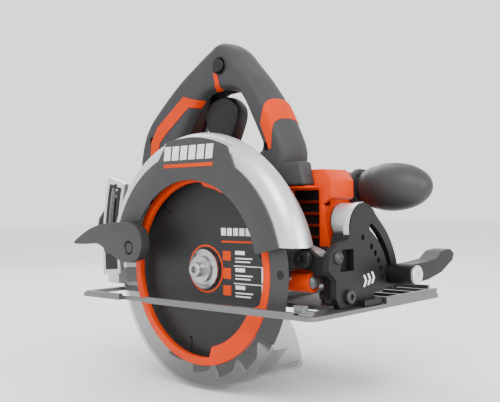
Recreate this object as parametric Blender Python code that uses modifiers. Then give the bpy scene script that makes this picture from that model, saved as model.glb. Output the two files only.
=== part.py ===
"""Cordless circular saw, 165 mm blade on its right-hand side, modelled as an assembly of separate parts.

Metres, +X forward, +Y to the saw's left, +Z up. The origin is on the shoe's sole, beside the arbor.
Rest pose: full depth of cut, no bevel, lower guard closed.
"""

import math

import bmesh
import bpy
from mathutils import Matrix, Vector

NAME = "circular_saw"
GAP = 0.0003

# Driving dimensions
BLADE_Y = -0.060
ARBOR_X, ARBOR_Z = 0.0, 0.027
BLADE_R = 0.0825
BLADE_HALF = 0.0009
BLADE_TEETH = 18
MOTOR_X, MOTOR_Z = 0.010, 0.0488
GEAR_MODULE = 0.0015
PINION_TEETH, GEAR_TEETH = 9, 23
FAN_VANES = 9
DEPTH_X, DEPTH_Z = 0.088, 0.037
BEVEL_Y, BEVEL_Z = BLADE_Y + 0.0264, 0.0106
SHOE_REAR, SHOE_FRONT = -0.135, 0.1195
SHOE_NEAR, SHOE_FAR = BLADE_Y - 0.0245, BLADE_Y + 0.148
SHOE_THICK = 0.003
GUARD_R = 0.1026
GUARD_WINDOW = 0.0690  # radius of the opening in the guard's near wall
LOWER_R = 0.089
QUADRANT_X, QUADRANT_THICK = 0.1065, 0.005
LOCK_Y, LOCK_Z = BLADE_Y + 0.0805, 0.0228
GRIP_Y = BLADE_Y + 0.038
GRIP_HALF = 0.0165
POMMEL_Y, POMMEL_Z = BLADE_Y + 0.100, 0.087
SLOT_R, LOCK_ANGLE = 0.205, math.radians(0.8)
DEPTH_TRAVEL = 14

AXES = {
    "X": Matrix(((0, 0, 1), (1, 0, 0), (0, 1, 0))).to_4x4(),
    "Y": Matrix(((1, 0, 0), (0, 0, -1), (0, 1, 0))).to_4x4(),
    "Z": Matrix.Identity(4),
}

MATERIALS = {
    "grey_plastic": ((0.115, 0.118, 0.122), 0.55, 0.0),
    "dark_plastic": ((0.035, 0.036, 0.038), 0.5, 0.0),
    "black_plastic": ((0.012, 0.012, 0.013), 0.45, 0.0),
    "orange_plastic": ((0.93, 0.16, 0.02), 0.4, 0.0),
    "silver_cast": ((0.72, 0.73, 0.75), 0.35, 0.6),
    "shoe_cast": ((0.48, 0.49, 0.5), 0.4, 0.8),
    "steel": ((0.55, 0.56, 0.58), 0.3, 1.0),
    "dark_steel": ((0.09, 0.09, 0.095), 0.4, 0.8),
    "blade_steel": ((0.2, 0.2, 0.205), 0.35, 0.8),
    "smoke": ((0.45, 0.44, 0.42), 0.2, 0.0),
    "copper": ((0.6, 0.25, 0.1), 0.35, 0.9),
    "lens": ((0.85, 0.88, 0.9), 0.1, 0.0),
}


def left(distance):
    """World Y of a point this far to the left of the blade's plane."""
    return BLADE_Y + distance


def clear_scene():
    for obj in list(bpy.data.objects):
        bpy.data.objects.remove(obj)


def new_collection(name):
    made = bpy.data.collections.new(name)
    bpy.context.scene.collection.children.link(made)
    return made


def material(name):
    found = bpy.data.materials.get(name)
    if found:
        return found
    color, roughness, metallic = MATERIALS[name]
    made = bpy.data.materials.new(name)
    made.use_nodes = True
    shader = made.node_tree.nodes["Principled BSDF"]
    shader.inputs["Base Color"].default_value = (*color, 1)
    shader.inputs["Roughness"].default_value = roughness
    shader.inputs["Metallic"].default_value = metallic
    made.diffuse_color = (*color, 1)
    return made


def add_mesh(name, bm, finish, pivot=(0, 0, 0)):
    """An object from a bmesh in world coordinates, with its origin at pivot."""
    bmesh.ops.translate(bm, verts=bm.verts, vec=-Vector(pivot))
    bmesh.ops.recalc_face_normals(bm, faces=bm.faces)
    mesh = bpy.data.meshes.new(name)
    bm.to_mesh(mesh)
    bm.free()
    obj = bpy.data.objects.new(name, mesh)
    obj.location = pivot
    parts.objects.link(obj)
    mesh.materials.append(material(finish))
    mesh.shade_smooth()
    mesh.set_sharp_from_angle(angle=math.radians(30))
    return obj


def box_mesh(x0, x1, y0, y1, z0, z1):
    bm = bmesh.new()
    bmesh.ops.create_cube(bm, size=1)
    bmesh.ops.scale(bm, verts=bm.verts, vec=(x1 - x0, y1 - y0, z1 - z0))
    bmesh.ops.translate(bm, verts=bm.verts, vec=((x0 + x1) / 2, (y0 + y1) / 2, (z0 + z1) / 2))
    return bm


def rod_mesh(axis, centre, radius, low, high, sides=32, end_radius=None):
    """A cylinder or cone along an axis: centre gives the two other coordinates, in X, Y, Z order."""
    bm = bmesh.new()
    bmesh.ops.create_cone(bm, cap_ends=True, segments=sides, radius1=radius,
                          radius2=radius if end_radius is None else end_radius, depth=high - low)
    turn = {"X": Matrix.Rotation(math.pi / 2, 4, "Y"),
            "Y": Matrix.Rotation(-math.pi / 2, 4, "X"),
            "Z": Matrix.Identity(4)}[axis]
    place = list(centre)
    place.insert("XYZ".index(axis), (low + high) / 2)
    bmesh.ops.transform(bm, matrix=Matrix.Translation(place) @ turn, verts=bm.verts)
    return bm


def plate_mesh(axis, outlines, low, high):
    """A flat outline, with any holes, extruded along an axis. Points are the two other coordinates."""
    curve = bpy.data.curves.new("outline", "CURVE")
    curve.dimensions = "2D"
    curve.fill_mode = "BOTH"
    curve.extrude = (high - low) / 2
    for outline in outlines:
        spline = curve.splines.new("POLY")
        spline.points.add(len(outline) - 1)
        for point, (u, v) in zip(spline.points, outline):
            point.co = (u, v, 0, 1)
        spline.use_cyclic_u = True
    guide = bpy.data.objects.new("outline", curve)
    bpy.context.scene.collection.objects.link(guide)
    graph = bpy.context.evaluated_depsgraph_get()
    mesh = bpy.data.meshes.new_from_object(guide.evaluated_get(graph))
    bm = bmesh.new()
    bm.from_mesh(mesh)
    bmesh.ops.remove_doubles(bm, verts=bm.verts, dist=1e-6)
    offset = [0, 0, 0]
    offset["XYZ".index(axis)] = (low + high) / 2
    bmesh.ops.transform(bm, matrix=Matrix.Translation(offset) @ AXES[axis], verts=bm.verts)
    bmesh.ops.recalc_face_normals(bm, faces=bm.faces)
    bpy.data.objects.remove(guide)
    bpy.data.meshes.remove(mesh)
    bpy.data.curves.remove(curve)
    return bm


def helper(bm):
    """A hidden mesh that a Boolean cuts away or joins on."""
    obj = add_mesh("helper", bm, "steel")
    parts.objects.unlink(obj)
    helpers.objects.link(obj)
    obj.hide_render = True
    obj.display_type = "WIRE"
    return obj


def combine(obj, meshes, operation):
    for bm in meshes:
        modifier = obj.modifiers.new(operation.lower(), "BOOLEAN")
        modifier.operation = operation
        modifier.object = helper(bm)
    return obj


def cut(obj, *meshes):
    return combine(obj, meshes, "DIFFERENCE")


def join(obj, *meshes):
    return combine(obj, meshes, "UNION")


def bevel(obj, width, segments=2):
    modifier = obj.modifiers.new("rounded", "BEVEL")
    modifier.width = width
    modifier.segments = segments
    modifier.limit_method = "ANGLE"
    return obj


def turned(name, axis, centre, profile, finish, steps=32, pivot=None):
    """A solid of revolution. The profile is (place along the axis, radius) pairs, from low to high."""
    bm = bmesh.new()
    corners = [bm.verts.new((radius, 0, along)) for along, radius in profile]
    for first, second in zip(corners, corners[1:]):
        bm.edges.new((first, second))
    if profile[0][1] > 0 and profile[-1][1] > 0:
        bm.edges.new((corners[-1], corners[0]))
    bmesh.ops.spin(bm, geom=bm.verts[:] + bm.edges[:], cent=(0, 0, 0), axis=(0, 0, 1),
                   angle=2 * math.pi, steps=steps)
    bmesh.ops.remove_doubles(bm, verts=bm.verts, dist=1e-6)
    place = list(centre)
    place.insert("XYZ".index(axis), 0)
    turn = {"X": Matrix.Rotation(math.pi / 2, 4, "Y"),
            "Y": Matrix.Rotation(-math.pi / 2, 4, "X"),
            "Z": Matrix.Identity(4)}[axis]
    bmesh.ops.transform(bm, matrix=Matrix.Translation(place) @ turn, verts=bm.verts)
    return add_mesh(name, bm, finish, pivot or place)


def arc(centre, radius, start, end, steps):
    """Points along an arc, from angle start to end in degrees."""
    angles = (math.radians(start + (end - start) * i / steps) for i in range(steps + 1))
    return [(centre[0] + radius * math.cos(a), centre[1] + radius * math.sin(a)) for a in angles]


def ring_sector(centre, inner, outer, start, end, steps):
    return arc(centre, outer, start, end, steps) + arc(centre, inner, end, start, steps)


def circle(centre, radius, sides=32):
    return arc(centre, radius, 0, 360, sides)[:-1]


def slot_outline(centre, radius, half_width, start, end, steps):
    """The outline of a round-ended slot along an arc."""
    ends = []
    for angle in (start, end):
        a = math.radians(angle)
        ends.append((centre[0] + radius * math.cos(a), centre[1] + radius * math.sin(a)))
    return (arc(centre, radius + half_width, start, end, steps)
            + arc(ends[1], half_width, end, end + 180, 6)[1:-1]
            + arc(centre, radius - half_width, end, start, steps)
            + arc(ends[0], half_width, start + 180, start + 360, 6)[1:-1])


ARBOR = (ARBOR_X, ARBOR_Z)
MOTOR = (MOTOR_X, MOTOR_Z)
DEPTH = (DEPTH_X, DEPTH_Z)
BEVEL = (BEVEL_Y, BEVEL_Z)
LOCK = (LOCK_Y, LOCK_Z)


def make_shoe():
    rear, front, near, far = SHOE_REAR, SHOE_FRONT, SHOE_NEAR, SHOE_FAR
    corner = 0.012
    outline = [(rear + corner, near), (front - 0.004, near), (front, near + 0.004),
               (front, far - corner), (front - corner, far), (rear + corner, far),
               (rear, far - corner), (rear, near + corner)]
    slot_near, slot_far, gearbox_far = left(-0.0188), left(0.0228), left(0.0292)
    slot_rear, slot_front, gearbox_half = -0.1285, 0.1015, 0.0400
    slot = [(slot_rear, slot_near), (slot_front, slot_near), (slot_front, slot_far), (gearbox_half, slot_far),
            (gearbox_half, gearbox_far), (-gearbox_half, gearbox_far), (-gearbox_half, slot_far),
            (slot_rear, slot_far)]
    shoe = add_mesh("shoe", plate_mesh("Z", [outline, slot], 0, SHOE_THICK), "shoe_cast")
    low, rail = SHOE_THICK - GAP, 0.0047
    ribs = [box_mesh(rear + 0.016, 0.108, near, near + 0.0038, low, rail),
            box_mesh(rear + 0.014, front - 0.014, far - 0.003, far, low, 0.008),
            box_mesh(rear, rear + 0.003, left(0.045), far - 0.014, low, 0.0062),
            box_mesh(front - 0.003, front, left(0.062), far - 0.014, low, 0.0075)]
    for y in (0.070, 0.090, 0.110, 0.130):
        ribs.append(box_mesh(0.085, front - 0.001, left(y), left(y + 0.0028), low, 0.0065))
    for x in (-0.09, -0.05, -0.01, 0.03, 0.07):
        ribs.append(box_mesh(x, x + 0.0028, left(0.05), far - 0.001, low, 0.006))
    join(shoe, *ribs)
    # The boss of the lift lever passes through this notch as the saw tilts.
    cut(shoe, box_mesh(-0.0760, -0.0440, near - 0.001, near + 0.0040, -0.001, 0.010))


def make_quadrant():
    """The front bevel plate: detent dimples and the lock's slot are arcs about the bevel axis."""
    x0, x1 = QUADRANT_X, QUADRANT_X + QUADRANT_THICK
    top = (left(0.046), 0.0575)
    outline = ([(left(0.058), SHOE_THICK + GAP), (left(0.0585), 0.011)]
               + [(left(0.086), 0.014)]
               + arc(BEVEL, 0.0655, 14, 44, 6)
               + arc(top, 0.0178, 32, 148, 8)
               + [(left(0.0275), 0.0505), (left(0.013), 0.047), (left(0.005), 0.041), (left(0.0035), 0.030)]
               + [(left(0.0121), 0.0231), (left(0.0119), 0.0105), (left(0.0160), SHOE_THICK + GAP)])
    window = [(left(0.017), 0.0285), (left(0.033), 0.0285), (left(0.033), 0.0435), (left(0.019), 0.0435)]
    lock_angle = math.degrees(math.atan2(LOCK_Z - BEVEL_Z, LOCK_Y - BEVEL_Y))
    lock_radius = math.hypot(LOCK_Z - BEVEL_Z, LOCK_Y - BEVEL_Y)
    slot = slot_outline(BEVEL, lock_radius, 0.0027, lock_angle - 0.5, lock_angle + 45.5, 16)
    hole = circle(BEVEL, 0.0038, 20)
    plate = add_mesh("bevel_quadrant", plate_mesh("X", [outline, window, slot, hole], x0, x1), "dark_plastic")
    foot = box_mesh(x0 - 0.0005, x1 + 0.006, left(0.037), left(0.0585), SHOE_THICK + GAP, 0.0075)
    join(plate, foot)
    dimples = []
    for angle in (13, 22, 31, 40, 49, 66):
        a = math.radians(angle)
        centre = (BEVEL_Y + 0.044 * math.cos(a), BEVEL_Z + 0.044 * math.sin(a))
        dimples.append(rod_mesh("X", centre, 0.0022, x1 - 0.0018, x1 + 0.001, 10))
    cut(plate, *dimples)


def make_bevel_pins():
    head = QUADRANT_X + QUADRANT_THICK + GAP
    front = turned("bevel_pivot_screw", "X", BEVEL,
                   [(0.0885, 0), (0.0885, 0.0035), (head, 0.0035), (head, 0.0050), (head + 0.0020, 0.0050),
                    (head + 0.0026, 0.0043), (head + 0.0026, 0)], "dark_steel", 18)
    cut(front, rod_mesh("X", BEVEL, 0.0023, head + 0.0008, head + 0.006, 6))
    rear = turned("rear_pivot_pin", "X", BEVEL,
                  [(-0.1345, 0), (-0.1345, 0.0055), (-0.1332, 0.0055), (-0.1332, 0.003), (-0.1065, 0.003),
                   (-0.1065, 0)], "steel", 18)
    ear_outline = ([(BEVEL_Y - 0.010, SHOE_THICK + GAP + 0.0033)]
                   + [(BEVEL_Y + 0.010, SHOE_THICK + GAP + 0.0033)]
                   + arc(BEVEL, 0.0072, 0, 180, 10))
    ear = add_mesh("rear_pivot_ear", plate_mesh("X", [ear_outline, circle(BEVEL, 0.0033, 16)],
                                               -0.1325, -0.1290), "dark_steel")
    join(ear, box_mesh(-0.1315, -0.1235, BEVEL_Y - 0.001, BEVEL_Y + 0.016,
                       SHOE_THICK + GAP, SHOE_THICK + GAP + 0.0036))
    return front, rear


DRUM = (left(0.044), 0.0625)


def make_swivel():
    """The casting behind the quadrant: bevel knuckle, lock arm, drum and the depth pivot's clevis."""
    x0, x1 = 0.0945, QUADRANT_X - GAP * 2
    outline = [(left(0.0085), 0.027), (left(0.020), 0.022), (left(0.0205), 0.013), (left(0.032), 0.0125),
               (left(0.040), 0.015), (left(0.086), 0.0155), (left(0.088), 0.029), (left(0.062), 0.040),
               (left(0.056), 0.054), (left(0.032), 0.054), (left(0.026), 0.0385), (left(0.0085), 0.0385)]
    swivel = add_mesh("front_swivel", plate_mesh("X", [outline], x0, x1), "silver_cast")
    join(swivel, rod_mesh("X", BEVEL, 0.0068, x0, x1, 24),
         rod_mesh("X", DRUM, 0.0124, 0.0928, x1, 32))
    cut(swivel, rod_mesh("X", BEVEL, 0.0038, 0.08, 0.12, 20),
        rod_mesh("X", LOCK, 0.0027, 0.08, 0.12, 16))
    for y in (0.0088, 0.0282):
        ear = ([(0.0990, 0.0285), (0.0990, 0.0380)] + arc(DEPTH, 0.0078, 80, 280, 8))
        join(swivel, plate_mesh("Y", [ear], left(y), left(y + 0.0040)))
    cut(swivel, rod_mesh("Y", DEPTH, 0.0033, left(0), left(0.04), 20))


def make_depth_bracket():
    """The slotted arc at the rear, struck about the depth pivot, on its own bevel knuckle."""
    outline = ring_sector(DEPTH, SLOT_R - 0.0115, SLOT_R + 0.0115, 163.0, 185.6, 12)
    slot = slot_outline(DEPTH, SLOT_R, 0.0038, 178.9 - DEPTH_TRAVEL, 179.7, 10)
    plate = plate_mesh("Y", [outline, slot], left(0.0), left(0.0042))
    bracket = add_mesh("depth_bracket", plate, "silver_cast")
    foot = [(-0.1215, 0.0095), (-0.1075, 0.0095), (-0.1075, 0.021), (-0.1215, 0.021)]
    join(bracket, plate_mesh("Y", [foot], left(0.0002), BEVEL_Y),
         rod_mesh("X", BEVEL, 0.0068, -0.1225, -0.1075, 24))
    cut(bracket, rod_mesh("X", BEVEL, 0.0033, -0.13, -0.10, 20))


def make_depth_pivot():
    bolt = turned("depth_pivot_bolt", "Y", DEPTH,
                  [(left(0.0038), 0), (left(0.0038), 0.0065), (left(0.0085), 0.0065), (left(0.0085), 0.003),
                   (left(0.0325), 0.003), (left(0.0325), 0.0045), (left(0.0358), 0.0045), (left(0.0358), 0)],
                  "dark_steel", 18)
    cut(bolt, rod_mesh("Y", DEPTH, 0.0025, left(0.002), left(0.006), 6))


def make_bevel_lock():
    face = QUADRANT_X + QUADRANT_THICK
    stud = turned("bevel_lock_stud", "X", LOCK,
                  [(0.0905, 0), (0.0905, 0.005), (0.0942, 0.005), (0.0942, 0.0023), (0.1290, 0.0023),
                   (0.1290, 0)], "steel", 18)
    sleeve = turned("bevel_lever", "X", LOCK,
                    [(face + GAP, 0.0026), (face + GAP, 0.0076), (0.1318, 0.0076), (0.1318, 0.0026)],
                    "black_plastic", 20)
    arm = [(LOCK_Y + 0.005, 0.0165), (LOCK_Y + 0.022, 0.0175), (LOCK_Y + 0.042, 0.0215),
           (LOCK_Y + 0.060, 0.0300), (LOCK_Y + 0.062, 0.0350), (LOCK_Y + 0.056, 0.0385),
           (LOCK_Y + 0.044, 0.0375), (LOCK_Y + 0.034, 0.0320), (LOCK_Y + 0.016, 0.0305),
           (LOCK_Y + 0.002, 0.0302)]
    paddle = plate_mesh("X", [arm], 0.1155, 0.1300)
    join(sleeve, paddle)
    cut(sleeve, rod_mesh("X", LOCK, 0.0026, 0.11, 0.14, 28))
    cap = turned("bevel_lock_cap", "X", LOCK,
                 [(0.1293, 0), (0.1293, 0.0023), (0.1321, 0.0023), (0.1321, 0.0068), (0.1340, 0.0068),
                  (0.1345, 0.0062), (0.1345, 0)], "steel", 18)
    cut(cap, rod_mesh("X", LOCK, 0.0017, 0.1330, 0.136, 6))
    return stud


def make_upper_guard():
    """The silver shell: near wall, curved shoulder, widest over the blade and tapering behind it."""
    outer = [(-0.0170, GUARD_WINDOW), (-0.0170, 0.0905), (-0.0150, 0.0965), (-0.0110, 0.1005),
             (-0.0060, GUARD_R), (-0.0015, GUARD_R), (0.0012, 0.1005), (0.0048, 0.0983), (0.0100, 0.0950),
             (0.0150, 0.0917), (0.0200, 0.0884)]
    inner = [(0.0200, 0.0866), (0.0164, 0.0886), (0.0152, 0.0898), (0.0100, 0.0932), (0.0048, 0.0964),
             (0.0000, 0.0992), (-0.0055, 0.1004), (-0.0100, 0.0985), (-0.0138, 0.0945), (-0.0150, 0.0885),
             (-0.0150, GUARD_WINDOW)]
    turned("upper_guard", "Y", ARBOR, [(left(y), r) for y, r in outer + inner], "silver_cast", 56)
    below = [(-0.12, -0.10), (0.12, -0.10), (0.12, 0.0450), (0.086, 0.0460), (0.060, 0.041),
             (0.0, 0.030), (-0.055, 0.057), (-0.085, 0.060), (-0.12, 0.060)]
    cut(bpy.data.objects["upper_guard"], plate_mesh("Y", [below], left(-0.03), left(0.03)))


def make_guard_band():
    """The dark cover on the guard's near face, with its raised top between two slanted cuts."""
    start, end = 12, 158
    outline = (arc(ARBOR, 0.0880, start, 58, 8) + arc(ARBOR, 0.0985, 66, 104, 8)
               + arc(ARBOR, 0.0890, 112, end, 8) + arc(ARBOR, 0.0668, end, start, 22))
    add_mesh("guard_band", plate_mesh("Y", [outline], left(-0.0184), left(-0.0173)), "grey_plastic")


def make_gear_case():
    """Far wall of the guard, the gearbox behind it, the snout for the spindle and the pivot knuckle."""
    lock = (DEPTH_X - SLOT_R * math.cos(LOCK_ANGLE), DEPTH_Z + SLOT_R * math.sin(LOCK_ANGLE))
    wall = ([(0.084, 0.0455), (0.0600, 0.0190), (0.0350, 0.0070), (-0.0350, 0.0070), (-0.060, 0.0270),
             (lock[0], lock[1] - 0.0090)]
            + arc(lock, 0.0090, 250, 110, 6) + [(-0.1040, 0.0560), (-0.0960, 0.0575)]
            + arc(ARBOR, 0.0862, 162, 16, 26))
    case = add_mesh("gear_case", plate_mesh("Y", [wall, circle(lock, 0.0036, 14)],
                                            left(0.0163), left(0.0200)), "silver_cast")
    gearbox = ([(-0.0240, 0.0270)] + arc(MOTOR, 0.0300, 175, 5, 12) + [(0.0400, 0.0300)]
               + arc(ARBOR, 0.0225, -10, -170, 8))
    join(case, plate_mesh("Y", [gearbox], left(0.0195), left(0.0360)),
         rod_mesh("Y", ARBOR, 0.0200, left(0.0092), left(0.0180), 28))
    knuckle = ([(0.040, 0.046), (0.066, 0.0505), (0.0885, 0.0430)] + arc(DEPTH, 0.0060, 60, -110, 6)
               + [(0.070, 0.0282), (0.040, 0.022)])
    join(case, plate_mesh("Y", [knuckle], left(0.0140), left(0.0270)))
    cut(case, rod_mesh("Y", DEPTH, 0.0034, left(0.010), left(0.030), 16),
        rod_mesh("Y", ARBOR, 0.0113, left(0.005), left(0.0172), 24),
        rod_mesh("Y", ARBOR, 0.0197, left(0.0170), left(0.0300), 28),
        rod_mesh("Y", ARBOR, 0.0083, left(0.0295), left(0.0345), 20),
        rod_mesh("Y", MOTOR, 0.0092, left(0.0170), left(0.0400), 20))


def casing_outline(front, inset):
    """The motor casing's side outline: front is its foremost X, inset the distance inside the outer skin."""
    nose = [(front, 0.0370), (front - 0.0080, 0.0745), (front, 0.0795)] if front > 0.08 else [(front, 0.0400)]
    outer = ([(-0.0450, 0.030), (-0.0330, 0.0180), (front - 0.030, 0.0155), (front - 0.0125, 0.0220)] + nose
             + [(front, 0.092), (front - 0.0065, 0.1000), (-0.030, 0.1010), (-0.0450, 0.088)])
    middle = (0.015, 0.060)
    return [(x - math.copysign(inset, x - middle[0]), z - math.copysign(inset, z - middle[1]))
            for x, z in outer]


def make_motor_housing():
    """The orange casing: a wide front part, a shorter rear part, hollow, and open where the cap closes it."""
    step, end = left(0.0640), left(0.1080)
    housing = add_mesh("motor_housing", plate_mesh("Y", [casing_outline(0.0905, 0)], left(0.0364), step),
                       "orange_plastic")
    join(housing, plate_mesh("Y", [casing_outline(0.0690, 0.0002)], step - 0.001, end))
    cut(housing, plate_mesh("Y", [casing_outline(0.0905, 0.003)], left(0.0394), step - 0.003),
        plate_mesh("Y", [casing_outline(0.0690, 0.0032)], step - 0.004, end + 0.01),
        rod_mesh("Y", MOTOR, 0.0150, left(0.0300), left(0.0500), 24))
    # Air slots in the near wall, between ribs, beside the blade guard.
    for i in range(5):
        low = 0.0440 + 0.0080 * i
        cut(housing, box_mesh(0.0570, 0.0788, left(0.0355), left(0.0400), low, low + 0.0054))


def make_motor_cap():
    cap = add_mesh("motor_cap", plate_mesh("Y", [casing_outline(0.0690, 0.001)], left(0.1083), left(0.1160)),
                   "grey_plastic")
    slots = [box_mesh(MOTOR_X - 0.022, MOTOR_X + 0.022, left(0.10), left(0.13),
                      MOTOR_Z + dz, MOTOR_Z + dz + 0.003)
             for dz in (-0.018, -0.011, 0.008, 0.015)]
    cut(cap, rod_mesh("Y", MOTOR, 0.0083, left(0.10), left(0.1125), 20), *slots)


def gear_outline(centre, teeth, phase):
    """Straight-flanked teeth of the shared module."""
    pitch_r = GEAR_MODULE * teeth / 2
    points = []
    for i in range(teeth):
        for share, radius in ((-0.27, pitch_r - 1.2 * GEAR_MODULE), (-0.13, pitch_r + 0.9 * GEAR_MODULE),
                              (0.13, pitch_r + 0.9 * GEAR_MODULE), (0.27, pitch_r - 1.2 * GEAR_MODULE)):
            a = phase + 2 * math.pi * (i + share) / teeth
            points.append((centre[0] + radius * math.cos(a), centre[1] + radius * math.sin(a)))
    return points


def make_drive():
    """Spindle, gears, blade, washers and bolt on the arbor; rotor, fan and bearings on the motor's axis."""
    line = math.atan2(MOTOR_Z - ARBOR_Z, MOTOR_X - ARBOR_X)
    half_tooth = math.pi / PINION_TEETH
    gear = plate_mesh("Y", [gear_outline(ARBOR, GEAR_TEETH, line), circle(ARBOR, 0.0053, 24)],
                      left(0.0185), left(0.0265))
    add_mesh("output_gear", gear, "steel", (ARBOR_X, BLADE_Y, ARBOR_Z))
    turned("spindle", "Y", ARBOR,
           [(left(-0.0010), 0), (left(-0.0010), 0.0045), (left(0.0013), 0.0045), (left(0.0013), 0.0050),
            (left(0.0340), 0.0050), (left(0.0340), 0)], "steel", 18)
    turned("inner_flange", "Y", ARBOR,
           [(left(0.0012), 0.0053), (left(0.0012), 0.0150), (left(0.0035), 0.0150), (left(0.0050), 0.0090),
            (left(0.0086), 0.0080), (left(0.0086), 0.0053)], "steel", 18)
    turned("outer_flange", "Y", ARBOR,
           [(left(-0.0050), 0.0043), (left(-0.0050), 0.0115), (left(-0.0040), 0.0150),
            (left(-0.0012), 0.0150), (left(-0.0012), 0.0043)], "steel", 18)
    bolt = turned("blade_bolt", "Y", ARBOR,
                  [(left(-0.0140), 0), (left(-0.0140), 0.0050), (left(-0.0134), 0.0056),
                   (left(-0.0080), 0.0056), (left(-0.0078), 0.0100), (left(-0.0053), 0.0100),
                   (left(-0.0053), 0.0040),
                   (left(-0.0013), 0.0040), (left(-0.0013), 0)], "steel", 20)
    cut(bolt, rod_mesh("Y", ARBOR, 0.0029, left(-0.016), left(-0.0105), 6))
    make_blade()
    pinion_phase = line + math.pi + half_tooth
    rotor = turned("rotor", "Y", MOTOR,
                   [(left(0.0268), 0), (left(0.0268), 0.0025), (left(0.0390), 0.0025), (left(0.0390), 0.0040),
                    (left(0.0560), 0.0040), (left(0.0560), 0.0140), (left(0.0960), 0.0140),
                    (left(0.0960), 0.0040), (left(0.1120), 0.0040), (left(0.1120), 0)], "copper", 18)
    pinion = gear_outline(MOTOR, PINION_TEETH, pinion_phase)
    join(rotor, plate_mesh("Y", [pinion], left(0.0185), left(0.0272)))
    fan = turned("cooling_fan", "Y", MOTOR,
                 [(left(0.0455), 0.0043), (left(0.0455), 0.0240), (left(0.0467), 0.0240),
                  (left(0.0467), 0.0043)],
                 "black_plastic", 20)
    vanes = []
    for i in range(FAN_VANES):
        for share, radius in ((-0.34, 0.0075), (-0.07, 0.0232), (0.07, 0.0232), (0.34, 0.0075)):
            a = 2 * math.pi * (i + share) / FAN_VANES
            vanes.append((MOTOR_X + radius * math.cos(a), MOTOR_Z + radius * math.sin(a)))
    join(fan, plate_mesh("Y", [vanes, circle(MOTOR, 0.0045, 18)], left(0.0462), left(0.0530)))
    turned("stator", "Y", MOTOR, [(left(0.0570), 0.0148), (left(0.0570), 0.0262), (left(0.0950), 0.0262),
                                  (left(0.0950), 0.0148)], "dark_steel", 18)
    make_bearing("spindle_bearing_front", ARBOR, 0.0108, 0.0055, 0.0098, 0.0164)
    make_bearing("spindle_bearing_rear", ARBOR, 0.0080, 0.0053, 0.0298, 0.0338)
    make_bearing("motor_bearing_front", MOTOR, 0.0090, 0.0043, 0.0300, 0.0350)
    make_bearing("motor_bearing_rear", MOTOR, 0.0080, 0.0043, 0.1070, 0.1118)


def make_bearing(name, centre, outer, inner, low, high):
    ring = [(left(low), inner), (left(low), outer), (left(high), outer), (left(high), inner)]
    turned(name, "Y", centre, ring, "steel", 18)


def make_blade():
    """Hooked teeth: each gullet drops behind the tip and climbs back to the next tooth."""
    points = []
    step = 2 * math.pi / BLADE_TEETH
    for i in range(BLADE_TEETH):
        tip = math.radians(-141.4) + step * i
        for share, radius in ((0.0, BLADE_R), (-0.05, BLADE_R - 0.0085), (-0.16, BLADE_R - 0.0105),
                              (-0.30, BLADE_R - 0.0088), (-0.45, BLADE_R - 0.0045),
                              (-0.80, BLADE_R - 0.0022)):
            a = tip - step * share
            points.append((ARBOR_X + radius * math.cos(a), ARBOR_Z + radius * math.sin(a)))
    blade = plate_mesh("Y", [points, circle(ARBOR, 0.0050, 24)], left(-BLADE_HALF), left(BLADE_HALF))
    add_mesh("blade", blade, "blade_steel", (ARBOR_X, BLADE_Y, ARBOR_Z))


def make_lower_guard():
    """A U-shaped channel turned about the arbor, open between its mouth and its rear end."""
    mouth, rear = -38, 166
    profile = [(-0.0100, 0.0718), (-0.0100, LOWER_R), (0.0150, LOWER_R), (0.0150, 0.0206), (0.0122, 0.0206),
               (0.0122, 0.0250), (0.0132, 0.0250), (0.0132, LOWER_R - 0.0018), (-0.0085, LOWER_R - 0.0018),
               (-0.0085, 0.0718)]
    guard = turned("lower_guard", "Y", ARBOR, [(left(y), r) for y, r in profile], "smoke", 48,
                   (ARBOR_X, BLADE_Y, ARBOR_Z))
    cut(guard, plate_mesh("Y", [ring_sector(ARBOR, 0.0262, 0.12, mouth, rear, 24)], left(-0.02), left(0.02)))
    near_lip = (arc(ARBOR, 0.0730, mouth - 12, mouth + 4, 4)
                + [(0.0627, -0.0163), (0.0700, -0.0197), (0.0761, -0.0293), (0.0787, -0.0365)]
                + arc(ARBOR, 0.0880, mouth - 6, mouth - 12, 2))
    far_lip = (arc(ARBOR, 0.0600, mouth - 10, mouth + 14, 4)
               + [(0.0682, -0.0148), (0.0735, -0.0249), (0.0770, -0.0351), (0.0787, -0.0365)]
               + arc(ARBOR, 0.0880, mouth - 6, mouth - 10, 2))
    join(guard, plate_mesh("Y", [near_lip], left(-0.0098), left(-0.0087)),
         plate_mesh("Y", [far_lip], left(0.0134), left(0.0148)))
    return guard


def make_guard_ring():
    """The orange ring on the guard's near wall, with its broad front sector and the tab at the top."""
    outline = (circle(ARBOR, 0.0714, 44))
    inner = arc(ARBOR, 0.0655, -20, 62, 12) + arc(ARBOR, 0.0625, 64, 84, 4) \
        + arc(ARBOR, 0.0655, 86, 280, 30) \
        + arc(ARBOR, 0.0580, 283, 335, 10)
    ring = add_mesh("guard_ring", plate_mesh("Y", [outline, inner], left(-0.0100), left(-0.0060)),
                    "orange_plastic", (ARBOR_X, BLADE_Y, ARBOR_Z))
    return ring


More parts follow.
